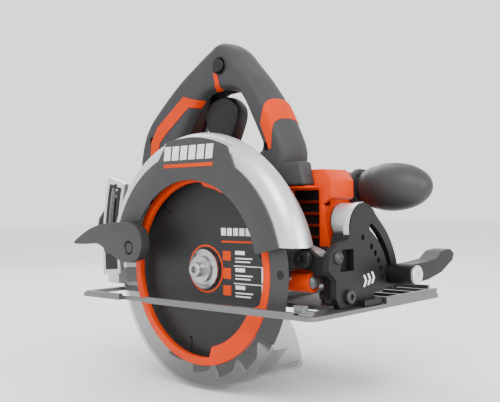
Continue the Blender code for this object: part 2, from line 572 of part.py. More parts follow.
def make_lift_lever():
    arm = [(-0.1350, 0.0440), (-0.1300, 0.0475), (-0.1050, 0.0545), (-0.0850, 0.0600), (-0.0620, 0.0620),
           (-0.0500, 0.0560), (-0.0465, 0.0450), (-0.0500, 0.0360), (-0.0600, 0.0315), (-0.0720, 0.0345),
           (-0.0800, 0.0440), (-0.1000, 0.0450), (-0.1300, 0.0410)]
    lever = add_mesh("lift_lever", plate_mesh("Y", [arm], left(-0.0285), left(-0.0195)), "grey_plastic",
                     (ARBOR_X, BLADE_Y, ARBOR_Z))
    hub = (-0.0590, 0.0425)
    join(lever, rod_mesh("Y", hub, 0.0037, left(-0.0205), left(-0.0106), 24))
    cut(lever, rod_mesh("Y", hub, 0.0052, left(-0.0300), left(-0.0240), 24),
        rod_mesh("Y", hub, 0.0020, left(-0.0260), left(-0.0050), 16))
    turned("lift_lever_screw", "Y", hub,
           [(left(-0.0275), 0), (left(-0.0275), 0.0042), (left(-0.0243), 0.0042), (left(-0.0243), 0.0017),
            (left(-0.0120), 0.0017), (left(-0.0120), 0)], "dark_steel", 14)


HANDLE_OUTLINE = [
    (0.0680, 0.1016), (0.0563, 0.1275), (0.0453, 0.1490), (0.0280, 0.1720), (0.0148, 0.1870),
    (0.0040, 0.1985), (-0.0080, 0.2045), (-0.0230, 0.1975), (-0.0572, 0.1760), (-0.0795, 0.1585),
    (-0.0923, 0.1460), (-0.1003, 0.1330), (-0.1070, 0.1100), (-0.1060, 0.0945), (-0.1060, 0.0420),
    (-0.0480, 0.0420), (-0.0480, 0.1016),
]
HANDLE_SCREWS = ((0.0420, 0.1330), (-0.0860, 0.1300), (0.0420, 0.1180), (-0.0700, 0.0600))
LOCK_OFF = (-0.0050, 0.1840)
HANDLE_GAP = [
    (0.0370, 0.1150), (0.0260, 0.1370), (0.0150, 0.1570), (0.0050, 0.1645), (-0.0200, 0.1640),
    (-0.0380, 0.1480), (-0.0500, 0.1280), (-0.0540, 0.1150),
]


def trigger_pocket(low, high):
    """The space inside the grip for the trigger, switch and lock-off button."""
    pocket = [(-0.0800, 0.1200), (-0.0480, 0.1200), (-0.0300, 0.1500), (0.0000, 0.1600), (0.0000, 0.1700),
              (-0.0160, 0.1860), (-0.0360, 0.1780), (-0.0800, 0.1400)]
    return plate_mesh("Y", [pocket], low, high)


def make_handle():
    for name, low, high, side in (("handle_shell_right", GRIP_Y - GRIP_HALF, GRIP_Y - GAP / 2, -1),
                                  ("handle_shell_left", GRIP_Y + GAP / 2, GRIP_Y + GRIP_HALF, 1)):
        shell = add_mesh(name, plate_mesh("Y", [HANDLE_OUTLINE, HANDLE_GAP], low, high), "grey_plastic")
        bevel(shell, 0.001, 1)
        cut(shell, trigger_pocket(GRIP_Y - 0.0075, GRIP_Y + 0.0075))
        cut(shell, rod_mesh("Y", LOCK_OFF, 0.0056, GRIP_Y - 0.03, GRIP_Y + 0.03, 20))
        for point in HANDLE_SCREWS:
            reach = (GRIP_Y + side * 0.006, GRIP_Y + side * 0.03)
            cut(shell, rod_mesh("Y", point, 0.0034, min(reach), max(reach), 14))
    # The brace's near shell reaches down over the casing's near wall.
    join(bpy.data.objects["handle_shell_right"],
         box_mesh(0.0480, 0.0735, left(0.0218), left(0.0361), 0.0885, 0.1050))


def make_handle_screws():
    for i, point in enumerate(HANDLE_SCREWS):
        turned(f"handle_screw_{i + 1}", "Y", point,
               [(GRIP_Y - 0.0120, 0), (GRIP_Y - 0.0120, 0.0030), (GRIP_Y - 0.0063, 0.0030),
                (GRIP_Y - 0.0063, 0)],
               "dark_steel", 10)


def make_controls():
    """Trigger on its pivot, the switch above it, the lock-off button across the handle."""
    outline = [(-0.0120, 0.1615), (-0.0020, 0.1585), (0.0040, 0.1510), (0.0050, 0.1440), (0.0020, 0.1350),
               (-0.0030, 0.1270), (-0.0060, 0.1200), (-0.0170, 0.1190), (-0.0260, 0.1290), (-0.0320, 0.1450),
               (-0.0260, 0.1570)]
    plate = plate_mesh("Y", [outline], GRIP_Y - 0.0070, GRIP_Y + 0.0070)
    trigger = add_mesh("trigger", plate, "black_plastic", (-0.0120, GRIP_Y, 0.1580))
    bevel(trigger, 0.0012, 1)
    body = [(-0.0760, 0.1240), (-0.0560, 0.1240), (-0.0400, 0.1500), (-0.0330, 0.1650), (-0.0420, 0.1690),
            (-0.0760, 0.1390)]
    add_mesh("power_switch", plate_mesh("Y", [body], GRIP_Y - 0.0070, GRIP_Y + 0.0070), "black_plastic")
    turned("lock_off_button", "Y", LOCK_OFF,
           [(GRIP_Y - 0.0190, 0), (GRIP_Y - 0.0190, 0.0045), (GRIP_Y - 0.0180, 0.0053),
            (GRIP_Y + 0.0180, 0.0053), (GRIP_Y + 0.0190, 0.0045), (GRIP_Y + 0.0190, 0)], "black_plastic", 20)


def make_pommel():
    """The egg-shaped front grip on its neck, turned about a line running forward."""
    egg_centre, half_long, half_wide = 0.1020, 0.0330, 0.0185
    profile = [(0.0693, 0), (0.0693, 0.0150)]
    for i in range(1, 10):
        a = math.radians(145 - 145 * i / 9)
        profile.append((egg_centre + half_long * math.cos(a), half_wide * math.sin(a)))
    profile[-1] = (egg_centre + half_long, 0)
    turned("front_pommel", "X", (POMMEL_Y, POMMEL_Z), profile, "grey_plastic", 24)


def make_work_light():
    turned("work_light", "X", (left(0.0150), 0.0205),
           [(0.0695, 0), (0.0695, 0.0072), (0.0900, 0.0072), (0.0900, 0.0050), (0.0860, 0.0050), (0.0860, 0)],
           "orange_plastic", 20)
    turned("work_light_lens", "X", (left(0.0150), 0.0205),
           [(0.0864, 0), (0.0864, 0.0047), (0.0905, 0.0047), (0.0928, 0.0032), (0.0935, 0)], "lens", 16)


def make_battery():
    x0, x1, y0, y1, z0, z1 = -0.1700, -0.1085, left(0.022), left(0.095), 0.0245, 0.0900
    side = [(x0 + 0.020, z0), (x1, z0), (x1, z1), (x0 + 0.030, z1), (x0 + 0.004, z1 - 0.026),
            (x0, z1 - 0.040)]
    pack = add_mesh("battery_pack", plate_mesh("Y", [side], y0, y1), "dark_plastic")
    bevel(pack, 0.004, 2)
    cut(pack, box_mesh(-0.1560, -0.1440, y0 - 0.01, y0 + 0.0050, 0.0460, 0.0660))
    latch = add_mesh("battery_latch", box_mesh(-0.1555, -0.1445, y0 - 0.0010, y0 + 0.0035, 0.0470, 0.0650),
                     "orange_plastic")
    bevel(latch, 0.002, 2)
    rail = [(left(0.0395), 0.047), (left(0.0785), 0.047), (left(0.0785), 0.082), (left(0.0395), 0.082)]
    cut(pack, plate_mesh("X", [rail], -0.1300, -0.1000))
    plug = [(left(0.0400), 0.0475), (left(0.0780), 0.0475), (left(0.0780), 0.0815), (left(0.0400), 0.0815)]
    socket = add_mesh("battery_terminal", plate_mesh("X", [plug], -0.1275, -0.1063), "black_plastic")
    join(socket, plate_mesh("X", [[(left(0.0560), 0.030), (left(0.0900), 0.030), (left(0.0900), 0.0860),
                                   (left(0.0560), 0.0860)]], -0.1080, -0.0460))


def make_locks():
    """Depth lock bolt and lever at the slotted bracket, spindle lock button behind the gearbox."""
    spot = (DEPTH_X - SLOT_R * math.cos(LOCK_ANGLE), DEPTH_Z + SLOT_R * math.sin(LOCK_ANGLE))
    turned("depth_lock_bolt", "Y", spot,
           [(left(-0.0035), 0), (left(-0.0035), 0.0060), (left(-0.0004), 0.0060), (left(-0.0004), 0.0033),
            (left(0.0205), 0.0033), (left(0.0205), 0)], "dark_steel", 16)
    lever = turned("depth_lever", "Y", spot, [(left(0.0046), 0.0036), (left(0.0046), 0.0080),
                                              (left(0.0120), 0.0080), (left(0.0120), 0.0036)],
                   "black_plastic", 20)
    arm = [(spot[0] - 0.0075, spot[1]), (spot[0] + 0.0075, spot[1]), (spot[0] + 0.003, spot[1] + 0.040),
           (spot[0] - 0.004, spot[1] + 0.045), (spot[0] - 0.011, spot[1] + 0.040)]
    join(lever, plate_mesh("Y", [arm], left(0.0060), left(0.0118)))
    cut(lever, rod_mesh("Y", spot, 0.0036, left(0), left(0.02), 20))
    turned("spindle_lock_button", "X", (left(0.0300), 0.0600),
           [(-0.0440, 0), (-0.0440, 0.0050), (-0.0280, 0.0050), (-0.0280, 0)], "black_plastic", 16)


def make_guard_spring():
    """The torsion spring behind the lower guard's hub, as one coil around the snout."""
    turned("guard_spring", "Y", ARBOR,
           [(left(0.0101), 0.0204), (left(0.0101), 0.0222), (left(0.0119), 0.0222), (left(0.0119), 0.0204)],
           "steel", 20)


clear_scene()
parts = new_collection(NAME)
helpers = new_collection("helpers")
helpers.hide_render = True
make_shoe()
make_quadrant()
make_bevel_pins()
make_swivel()
make_depth_bracket()
make_depth_pivot()
make_bevel_lock()
make_upper_guard()
make_guard_band()
make_gear_case()
make_motor_housing()
make_motor_cap()
make_drive()
make_lower_guard()
make_guard_ring()
make_lift_lever()
make_handle()
make_handle_screws()
make_controls()
make_pommel()
make_work_light()
make_battery()
make_locks()
make_guard_spring()
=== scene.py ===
"""Cordless circular saw: the looks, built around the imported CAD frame.

Metres, in the frame's own axes: +X forward, +Y to the saw's left, +Z up, origin on the shoe's sole.
"""

import math

import bmesh
import bpy
from mathutils import Matrix, Vector


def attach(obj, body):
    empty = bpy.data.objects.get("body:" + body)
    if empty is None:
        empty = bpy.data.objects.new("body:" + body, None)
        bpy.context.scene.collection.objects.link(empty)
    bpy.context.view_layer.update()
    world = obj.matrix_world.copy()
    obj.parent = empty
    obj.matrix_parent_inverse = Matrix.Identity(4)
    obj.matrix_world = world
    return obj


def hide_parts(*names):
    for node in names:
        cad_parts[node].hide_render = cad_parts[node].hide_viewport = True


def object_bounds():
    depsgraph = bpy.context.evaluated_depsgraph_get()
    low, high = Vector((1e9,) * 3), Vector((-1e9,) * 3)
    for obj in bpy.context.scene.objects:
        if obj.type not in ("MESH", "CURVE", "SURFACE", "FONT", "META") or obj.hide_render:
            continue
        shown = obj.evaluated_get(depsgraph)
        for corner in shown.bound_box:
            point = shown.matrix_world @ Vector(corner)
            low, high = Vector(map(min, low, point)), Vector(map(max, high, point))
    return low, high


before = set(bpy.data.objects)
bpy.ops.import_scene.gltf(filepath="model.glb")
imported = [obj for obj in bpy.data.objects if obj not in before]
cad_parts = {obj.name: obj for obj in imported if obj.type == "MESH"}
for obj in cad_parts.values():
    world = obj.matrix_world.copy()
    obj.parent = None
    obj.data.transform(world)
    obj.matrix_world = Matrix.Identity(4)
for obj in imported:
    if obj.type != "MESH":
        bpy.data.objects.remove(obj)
CAD_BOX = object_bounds()

# Driving dimensions, the frame's own
BLADE_Y = -0.060
ARBOR = (0.0, 0.027)
GRIP_Y = BLADE_Y + 0.038
POMMEL = (BLADE_Y + 0.100, 0.087)
LOCK = (BLADE_Y + 0.0805, 0.0228)
DEPTH, SLOT_R = (0.088, 0.037), 0.205


def left(distance):
    """World Y of a point this far to the left of the blade's plane."""
    return BLADE_Y + distance


# ---------------------------------------------------------------- materials


def node(tree, kind, inputs=None, **settings):
    made = tree.nodes.new(kind)
    for key, value in settings.items():
        setattr(made, key, value)
    for key, value in (inputs or {}).items():
        if isinstance(value, bpy.types.NodeSocket):
            tree.links.new(value, made.inputs[key])
        else:
            made.inputs[key].default_value = value
    return made


def ramp(tree, fac, stops):
    made = node(tree, "ShaderNodeValToRGB", {"Fac": fac})
    elements = made.color_ramp.elements
    while len(elements) < len(stops):
        elements.new(0.5)
    for element, (position, color) in zip(elements, stops):
        element.position = position
        element.color = (*color, 1)
    return made.outputs["Color"]


def grey(value):
    return (value, value, value)


def tint(color, share):
    return tuple(min(1.0, channel * share) for channel in color)


def base_material(name, roughness=0.5, metallic=0.0, **sockets):
    made = bpy.data.materials.new(name)
    made.use_nodes = True
    tree = made.node_tree
    shader = tree.nodes["Principled BSDF"]
    shader.inputs["Roughness"].default_value = roughness
    shader.inputs["Metallic"].default_value = metallic
    for key, value in sockets.items():
        shader.inputs[key.replace("_", " ")].default_value = value
    place = node(tree, "ShaderNodeTexCoord").outputs["Object"]
    return made, tree, shader, place


def noise(tree, place, scale, detail=4, roughness=0.5):
    return node(tree, "ShaderNodeTexNoise", {"Vector": place, "Scale": scale, "Detail": detail,
                                             "Roughness": roughness}).outputs["Fac"]


def edge_wear_and_highlight(tree, radius, strength):
    """Up to strength on edges, 0 on flats: how far a bevelled normal turns from the true one. It masks the
    lighter edge tint, which is part wear and part painted highlight.
    """
    soft = node(tree, "ShaderNodeBevel", {"Radius": radius}, samples=4).outputs["Normal"]
    true = node(tree, "ShaderNodeNewGeometry").outputs["Normal"]
    match = node(tree, "ShaderNodeVectorMath", {0: soft, 1: true}, operation="DOT_PRODUCT").outputs["Value"]
    return node(tree, "ShaderNodeMapRange", {"Value": match, "From Min": 1.0, "From Max": 0.85,
                                             "To Min": 0.0, "To Max": strength}).outputs["Result"]


def link_worn_and_highlit_color(tree, shader, color_out, color, radius, strength, lift):
    """Base colour from color_out, turning to another tint of color on edges: part rubbing wear, part
    painted highlight.
    """
    worn_and_highlit = node(tree, "ShaderNodeMix", {0: edge_wear_and_highlight(tree, radius, strength), 6: color_out,
                                        7: (*tint(color, lift), 1)}, data_type="RGBA")
    tree.links.new(worn_and_highlit.outputs[2], shader.inputs["Base Color"])


def link_roughness(tree, shader, source, low, high):
    """Roughness between low and high, following a 0 to 1 source."""
    spread = node(tree, "ShaderNodeMapRange", {"Value": source, "To Min": low, "To Max": high})
    tree.links.new(spread.outputs["Result"], shader.inputs["Roughness"])


def link_bump(tree, shader, heights, rounding=0.0006):
    """Stacks (height, strength, distance) bumps on a slightly rounded normal."""
    normal = node(tree, "ShaderNodeBevel", {"Radius": rounding}, samples=4).outputs["Normal"]
    for height, strength, distance in heights:
        normal = node(tree, "ShaderNodeBump", {"Height": height, "Strength": strength, "Distance": distance,
                                               "Normal": normal}).outputs["Normal"]
    tree.links.new(normal, shader.inputs["Normal"])


def plastic(name, color, roughness=0.45, grain=2600, depth=0.25, specular=0.45):
    """Moulded plastic: spark-eroded grain, faint flow marks, and edges a little lighter, part rubbing wear
    and part painted highlight.
    """
    made, tree, shader, place = base_material(name, roughness, Specular_IOR_Level=specular)
    flow = ramp(tree, noise(tree, place, 28, 3), [(0.3, tint(color, 0.9)), (0.7, tint(color, 1.08))])
    link_worn_and_highlit_color(tree, shader, flow, color, 0.0008, 0.35, 1.5)
    link_roughness(tree, shader, noise(tree, place, 90, 4), roughness - 0.07, roughness + 0.1)
    link_bump(tree, shader, [(noise(tree, place, grain, 2), depth, 0.00012)])
    return made


def cast_metal(name, color, roughness, metallic):
    """Fine blasted casting with cloudy tone, small pits and bright edges, part wear and part painted
    highlight.
    """
    made, tree, shader, place = base_material(name, roughness, metallic)
    cloud = ramp(tree, noise(tree, place, 45, 5), [(0.3, tint(color, 0.9)), (0.7, tint(color, 1.06))])
    link_worn_and_highlit_color(tree, shader, cloud, color, 0.0008, 0.5, 1.25)
    link_roughness(tree, shader, noise(tree, place, 140, 4), roughness - 0.08, roughness + 0.12)
    link_bump(tree, shader, [(noise(tree, place, 1800, 3), 0.22, 0.00012)])
    return made


def turned_metal(name, color, centre, roughness=0.25, axis="Y", metallic=1.0):
    """Lathe-turned metal: fine rings about an axis, with a little uneven polish."""
    made, tree, shader, place = base_material(name, roughness, metallic)
    parts = node(tree, "ShaderNodeSeparateXYZ", {"Vector": place})
    across = [parts.outputs[letter] for letter in "XYZ" if letter != axis]
    offsets = [node(tree, "ShaderNodeMath", {0: value, 1: middle}, operation="SUBTRACT").outputs[0]
               for value, middle in zip(across, centre)]
    flat = node(tree, "ShaderNodeCombineXYZ", {"X": offsets[0], "Y": offsets[1], "Z": 0.0}).outputs[0]
    radius = node(tree, "ShaderNodeVectorMath", {0: flat}, operation="LENGTH").outputs["Value"]
    band = node(tree, "ShaderNodeCombineXYZ", {"X": radius, "Y": 0.0, "Z": 0.0}).outputs[0]
    rings = noise(tree, band, 2600, 3, 0.7)
    cloud = noise(tree, place, 60, 4)
    mixed = node(tree, "ShaderNodeMath", {0: rings, 1: cloud}, operation="ADD").outputs[0]
    tree.links.new(ramp(tree, mixed, [(0.35, tint(color, 0.8)), (0.65, tint(color, 1.15))]),
                   shader.inputs["Base Color"])
    link_roughness(tree, shader, rings, roughness - 0.06, roughness + 0.16)
    link_bump(tree, shader, [(rings, 0.3, 0.00006)], 0.0003)
    return made


def brushed_metal(name, color, roughness):
    """Long brush marks: noise stretched along X."""
    made, tree, shader, place = base_material(name, roughness, metallic=0.85)
    stretched = node(tree, "ShaderNodeMapping", {"Vector": place, "Scale": (1, 40, 40)}).outputs["Vector"]
    marks = noise(tree, stretched, 60, 4, 0.7)
    tone = ramp(tree, marks, [(0.3, tint(color, 0.85)), (0.7, tint(color, 1.12))])
    # Edges turn a little lighter: part wear, part painted highlight.
    link_worn_and_highlit_color(tree, shader, tone, color, 0.0006, 0.6, 1.5)
    link_roughness(tree, shader, marks, roughness - 0.08, roughness + 0.15)
    link_bump(tree, shader, [(marks, 0.2, 0.00008)], 0.0004)
    return made


def smoke_plastic(name, painted_shade, light):
    """Translucent smoke-grey polycarbonate with faint scuffs."""
    made, tree, shader, place = base_material(name, 0.16, 0.0, IOR=1.45, Alpha=0.32)
    scuff = noise(tree, place, 160, 6, 0.7)
    cloud = ramp(tree, noise(tree, place, 25, 3), [(0.3, painted_shade), (0.7, light)])
    tree.links.new(cloud, shader.inputs["Base Color"])
    link_roughness(tree, shader, scuff, 0.1, 0.32)
    link_bump(tree, shader, [(scuff, 0.12, 0.0001)], 0.0003)
    return made


def make_materials():
    orange = (0.62, 0.040, 0.001)
    return {
        "grey_plastic": plastic("grey_plastic", (0.026, 0.0265, 0.028), 0.46),
        "grip_rubber": plastic("grip_rubber", (0.030, 0.031, 0.033), 0.58, grain=1500, depth=0.5,
                               specular=0.35),
        "dark_plastic": plastic("dark_plastic", (0.0085, 0.0085, 0.009), 0.42, specular=0.25),
        "black_plastic": plastic("black_plastic", (0.004, 0.004, 0.0045), 0.4, specular=0.3),
        "orange_plastic": plastic("orange_plastic", orange, 0.40, grain=2200, depth=0.15, specular=0.12),
        "shaded_orange": plastic("shaded_orange", (0.10, 0.007, 0.001), 0.5, specular=0.1),
        "orange_rubber": plastic("orange_rubber", tint(orange, 0.95), 0.5, grain=1600, depth=0.4,
                                 specular=0.1),
        "silver_cast": cast_metal("silver_cast", (0.60, 0.61, 0.63), 0.34, metallic=0.7),
        "shoe_cast": brushed_metal("shoe_cast", (0.17, 0.172, 0.178), 0.34),
        "steel": turned_metal("steel", (0.36, 0.365, 0.375), ARBOR),
        "dark_steel": cast_metal("dark_steel", (0.05, 0.05, 0.054), 0.38, metallic=0.7),
        "blade_steel": turned_metal("blade_steel", (0.012, 0.0125, 0.0135), ARBOR, 0.42, metallic=0.35),
        "carbide": cast_metal("carbide", (0.42, 0.42, 0.43), 0.3, metallic=0.9),
        "smoke_plastic": smoke_plastic("smoke_plastic", (0.085, 0.085, 0.084), (0.12, 0.12, 0.119)),
        "motor_windings": cast_metal("motor_windings", (0.5, 0.2, 0.08), 0.35, metallic=0.8),
        "clear_lens": plastic("clear_lens", (0.10, 0.105, 0.11), 0.12, grain=400, depth=0.05),
        "print_white": plastic("print_white", (0.72, 0.72, 0.71), 0.5),
        "print_orange": plastic("print_orange", (0.55, 0.045, 0.002), 0.5, specular=0.1),
        "cap_steel": turned_metal("cap_steel", (0.66, 0.67, 0.68), LOCK, 0.3, axis="X"),
    }


MATERIALS = make_materials()
NODE_MATERIALS = {
    "silver_cast": ["upper_guard", "depth_bracket", "gear_case"],
    "dark_plastic": ["bevel_quadrant", "battery_pack", "front_swivel"],
    "grey_plastic": ["handle_shell_right", "handle_shell_left", "guard_band", "lift_lever", "front_pommel",
                     "motor_cap"],
    "black_plastic": ["bevel_lever", "trigger", "power_switch", "lock_off_button", "spindle_lock_button",
                      "depth_lever", "battery_terminal", "cooling_fan"],
    "orange_plastic": ["motor_housing", "guard_ring", "work_light", "battery_latch"],
    "shoe_cast": ["shoe"],
    "steel": ["spindle", "output_gear", "inner_flange", "outer_flange", "blade_bolt", "rear_pivot_pin",
              "bevel_lock_stud", "spindle_bearing_front", "spindle_bearing_rear", "motor_bearing_front",
              "motor_bearing_rear", "guard_spring"],
    "cap_steel": ["bevel_lock_cap"],
    "dark_steel": ["bevel_pivot_screw", "rear_pivot_ear", "depth_pivot_bolt", "depth_lock_bolt",
                   "lift_lever_screw", "handle_screw_1", "handle_screw_2", "handle_screw_3",
                   "handle_screw_4", "stator"],
    "blade_steel": ["blade"],
    "smoke_plastic": ["lower_guard"],
    "motor_windings": ["rotor"],
    "clear_lens": ["work_light_lens"],
}


def paint_nodes():
    for material, names in NODE_MATERIALS.items():
        for name in names:
            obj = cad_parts[name]
            obj.data.materials.clear()
            obj.data.materials.append(MATERIALS[material])


# ---------------------------------------------------------------- shape helpers

# How a solid turned about Z comes to lie along each axis, and how a flat XY outline comes to face it
TURN = {
    "X": Matrix.Rotation(math.pi / 2, 4, "Y"),
    "Y": Matrix.Rotation(-math.pi / 2, 4, "X"),
}
FACING = {
    "X": Matrix(((0, 0, 1), (1, 0, 0), (0, 1, 0))).to_4x4(),
    "Y": Matrix(((1, 0, 0), (0, 0, -1), (0, 1, 0))).to_4x4(),
}


def piece(name, bm, material, body, sharp=32):
    bmesh.ops.recalc_face_normals(bm, faces=bm.faces)
    mesh = bpy.data.meshes.new(name)
    bm.to_mesh(mesh)
    bm.free()
    mesh.materials.append(MATERIALS[material])
    mesh.shade_smooth()
    mesh.set_sharp_from_angle(angle=math.radians(sharp))
    obj = bpy.data.objects.new(name, mesh)
    bpy.context.scene.collection.objects.link(obj)
    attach(obj, body)
    return obj


def settle(bm, kind, **settings):
    """The mesh after one modifier, run on a passing object."""
    mesh = bpy.data.meshes.new("passing")
    bm.to_mesh(mesh)
    bm.free()
    obj = bpy.data.objects.new("passing", mesh)
    bpy.context.scene.collection.objects.link(obj)
    modifier = obj.modifiers.new(kind, kind)
    for key, value in settings.items():
        setattr(modifier, key, value)
    graph = bpy.context.evaluated_depsgraph_get()
    made = bpy.data.meshes.new_from_object(obj.evaluated_get(graph))
    result = bmesh.new()
    result.from_mesh(made)
    bpy.data.objects.remove(obj)
    bpy.data.meshes.remove(mesh)
    bpy.data.meshes.remove(made)
    return result


def combine(bm, others, operation):
    """Boolean of a mesh with each of the others in turn."""
    for other in others:
        bmesh.ops.recalc_face_normals(other, faces=other.faces)
        mesh = bpy.data.meshes.new("tool")
        other.to_mesh(mesh)
        other.free()
        tool = bpy.data.objects.new("tool", mesh)
        bpy.context.scene.collection.objects.link(tool)
        bm = settle(bm, "BOOLEAN", operation=operation, object=tool)
        bpy.data.objects.remove(tool)
        bpy.data.meshes.remove(mesh)
    return bm


def cut(bm, *others):
    return combine(bm, others, "DIFFERENCE")


def join(bm, *others):
    return combine(bm, others, "UNION")


def shared(bm, *others):
    return combine(bm, others, "INTERSECT")


def rounded(bm, width, segments=2, angle=35):
    return settle(bm, "BEVEL", width=width, segments=segments, limit_method="ANGLE",
                  angle_limit=math.radians(angle))


def box_mesh(x0, x1, y0, y1, z0, z1):
    bm = bmesh.new()
    bmesh.ops.create_cube(bm, size=1)
    bmesh.ops.scale(bm, verts=bm.verts, vec=(x1 - x0, y1 - y0, z1 - z0))
    bmesh.ops.translate(bm, verts=bm.verts, vec=((x0 + x1) / 2, (y0 + y1) / 2, (z0 + z1) / 2))
    return bm


def turned_mesh(axis, centre, profile, steps=96):
    """A solid of revolution from (place along the axis, radius) pairs."""
    bm = bmesh.new()
    corners = [bm.verts.new((radius, 0, along)) for along, radius in profile]
    for first, second in zip(corners, corners[1:]):
        bm.edges.new((first, second))
    if profile[0][1] > 0 and profile[-1][1] > 0:
        bm.edges.new((corners[-1], corners[0]))
    bmesh.ops.spin(bm, geom=bm.verts[:] + bm.edges[:], cent=(0, 0, 0), axis=(0, 0, 1),
                   angle=2 * math.pi, steps=steps)
    bmesh.ops.remove_doubles(bm, verts=bm.verts, dist=1e-6)
    place = list(centre)
    place.insert("XYZ".index(axis), 0)
    bmesh.ops.transform(bm, matrix=Matrix.Translation(place) @ TURN[axis], verts=bm.verts)
    return bm


def plate_mesh(axis, outlines, low, high):
    """Flat outlines, the inner ones as holes, extruded along an axis."""
    curve = bpy.data.curves.new("outline", "CURVE")
    curve.dimensions = "2D"
    curve.fill_mode = "BOTH"
    curve.extrude = (high - low) / 2
    for outline in outlines:
        spline = curve.splines.new("POLY")
        spline.points.add(len(outline) - 1)
        for point, (u, v) in zip(spline.points, outline):
            point.co = (u, v, 0, 1)
        spline.use_cyclic_u = True
    guide = bpy.data.objects.new("outline", curve)
    bpy.context.scene.collection.objects.link(guide)
    graph = bpy.context.evaluated_depsgraph_get()
    mesh = bpy.data.meshes.new_from_object(guide.evaluated_get(graph))
    bm = bmesh.new()
    bm.from_mesh(mesh)
    bmesh.ops.remove_doubles(bm, verts=bm.verts, dist=1e-6)
    bmesh.ops.dissolve_limit(bm, angle_limit=0.001, verts=bm.verts, edges=bm.edges)
    offset = [0, 0, 0]
    offset["XYZ".index(axis)] = (low + high) / 2
    bmesh.ops.transform(bm, matrix=Matrix.Translation(offset) @ FACING[axis], verts=bm.verts)
    bpy.data.objects.remove(guide)
    bpy.data.meshes.remove(mesh)
    bpy.data.curves.remove(curve)
    bmesh.ops.recalc_face_normals(bm, faces=bm.faces)
    return bm


def rod_mesh(axis, centre, radius, low, high, sides=48):
    return turned_mesh(axis, centre, [(low, 0), (low, radius), (high, radius), (high, 0)], sides)


def arc(centre, radius, start, end, steps):
    angles = (math.radians(start + (end - start) * i / steps) for i in range(steps + 1))
    return [(centre[0] + radius * math.cos(a), centre[1] + radius * math.sin(a)) for a in angles]


def circle(centre, radius, sides=64):
    return arc(centre, radius, 0, 360, sides)[:-1]


def curve_point(a, b, c, d, t):
    """One coordinate of a Catmull-Rom curve, the share t of the way from b to c."""
    return 0.5 * (2 * b + (c - a) * t + (2 * a - 5 * b + 4 * c - d) * t * t
                  + (3 * b - a - 3 * c + d) * t ** 3)


def smooth_line(points, steps=6, closed=True):
    """A Catmull-Rom curve through the points."""
    count = len(points)
    made = []
    for i in range(count if closed else count - 1):
        places = [(i + k) % count if closed else min(max(i + k, 0), count - 1) for k in (-1, 0, 1, 2)]
        ring = [points[place] for place in places]
        for step in range(steps):
            made.append(tuple(curve_point(*four, step / steps) for four in zip(*ring)))
    if not closed:
        made.append(tuple(points[-1]))
    return made


def offset_loop(points, distance):
    """A closed outline moved inwards by this distance, along the mean normal of each corner."""
    count = len(points)
    area = sum(points[i][0] * points[(i + 1) % count][1] - points[(i + 1) % count][0] * points[i][1]
               for i in range(count))
    turn = 1 if area > 0 else -1
    made = []
    for i in range(count):
        before, here, after = (Vector(points[(i + k) % count]) for k in (-1, 0, 1))
        along = (after - before).normalized()
        made.append((here.x - turn * along.y * distance, here.y + turn * along.x * distance))
    return made


def pillow_mesh(outer, gap, middle, half, corner, grow=0.0):
    """A slab across Y with a gap through it, whose edges roll over in superellipse arcs."""
    power, layers = 2.6, 9
    bm = bmesh.new()
    loops = []
    for outline, sense in ((outer, 1), (gap, -1)):
        rows = []
        for k in range(-layers, layers + 1):
            angle = math.radians(90 * k / layers)
            reach = math.copysign(abs(math.sin(angle)) ** (2 / power), angle)
            inset = corner * (1 - abs(math.cos(angle)) ** (2 / power)) - grow
            ring = offset_loop(outline, sense * inset)
            rows.append([bm.verts.new((x, middle + half * reach, z)) for x, z in ring])
        for first, second in zip(rows, rows[1:]):
            for i in range(len(first)):
                j = (i + 1) % len(first)
                bm.faces.new((first[i], first[j], second[j], second[i]))
        loops.append((rows[0], rows[-1]))
    for end in (0, 1):
        edges = []
        for pair in loops:
            ring = pair[end]
            edges += [bm.edges.get((ring[i], ring[(i + 1) % len(ring)])) for i in range(len(ring))]
        bmesh.ops.triangle_fill(bm, edges=edges, use_beauty=True)
    bmesh.ops.recalc_face_normals(bm, faces=bm.faces)
    return bm


# ---------------------------------------------------------------- handle

HANDLE_OUTER = [
    (0.0584, 0.1010), (0.0605, 0.1090), (0.0600, 0.1170), (0.0563, 0.1273), (0.0453, 0.1490),
    (0.0400, 0.1562), (0.0280, 0.1720), (0.0148, 0.1865), (0.0045, 0.1975), (-0.0080, 0.2038),
    (-0.0210, 0.1982), (-0.0384, 0.1880), (-0.0572, 0.1760), (-0.0795, 0.1580), (-0.0923, 0.1458),
    (-0.1003, 0.1329), (-0.1055, 0.1150), (-0.1070, 0.0980), (-0.1065, 0.0800), (-0.1055, 0.0430),
    (-0.0485, 0.0425), (-0.0485, 0.0860), (-0.0450, 0.0915), (-0.0380, 0.0930), (0.0000, 0.0930),
    (0.0445, 0.0930), (0.0525, 0.0951),
]
HANDLE_GAP = [
    (0.0345, 0.1200), (0.0320, 0.1260), (0.0260, 0.1375), (0.0150, 0.1570), (0.0050, 0.1640),
    (-0.0200, 0.1635), (-0.0380, 0.1480), (-0.0500, 0.1290), (-0.0515, 0.1210), (-0.0480, 0.1160),
    (-0.0400, 0.1148), (0.0000, 0.1148), (0.0240, 0.1148), (0.0320, 0.1160),
]
# The space inside the grip for the trigger and its switch
TRIGGER_POCKET = [
    (-0.0800, 0.1200), (-0.0480, 0.1200), (-0.0300, 0.1500), (0.0000, 0.1600),
    (0.0000, 0.1700), (-0.0160, 0.1860), (-0.0360, 0.1780), (-0.0800, 0.1400),
]
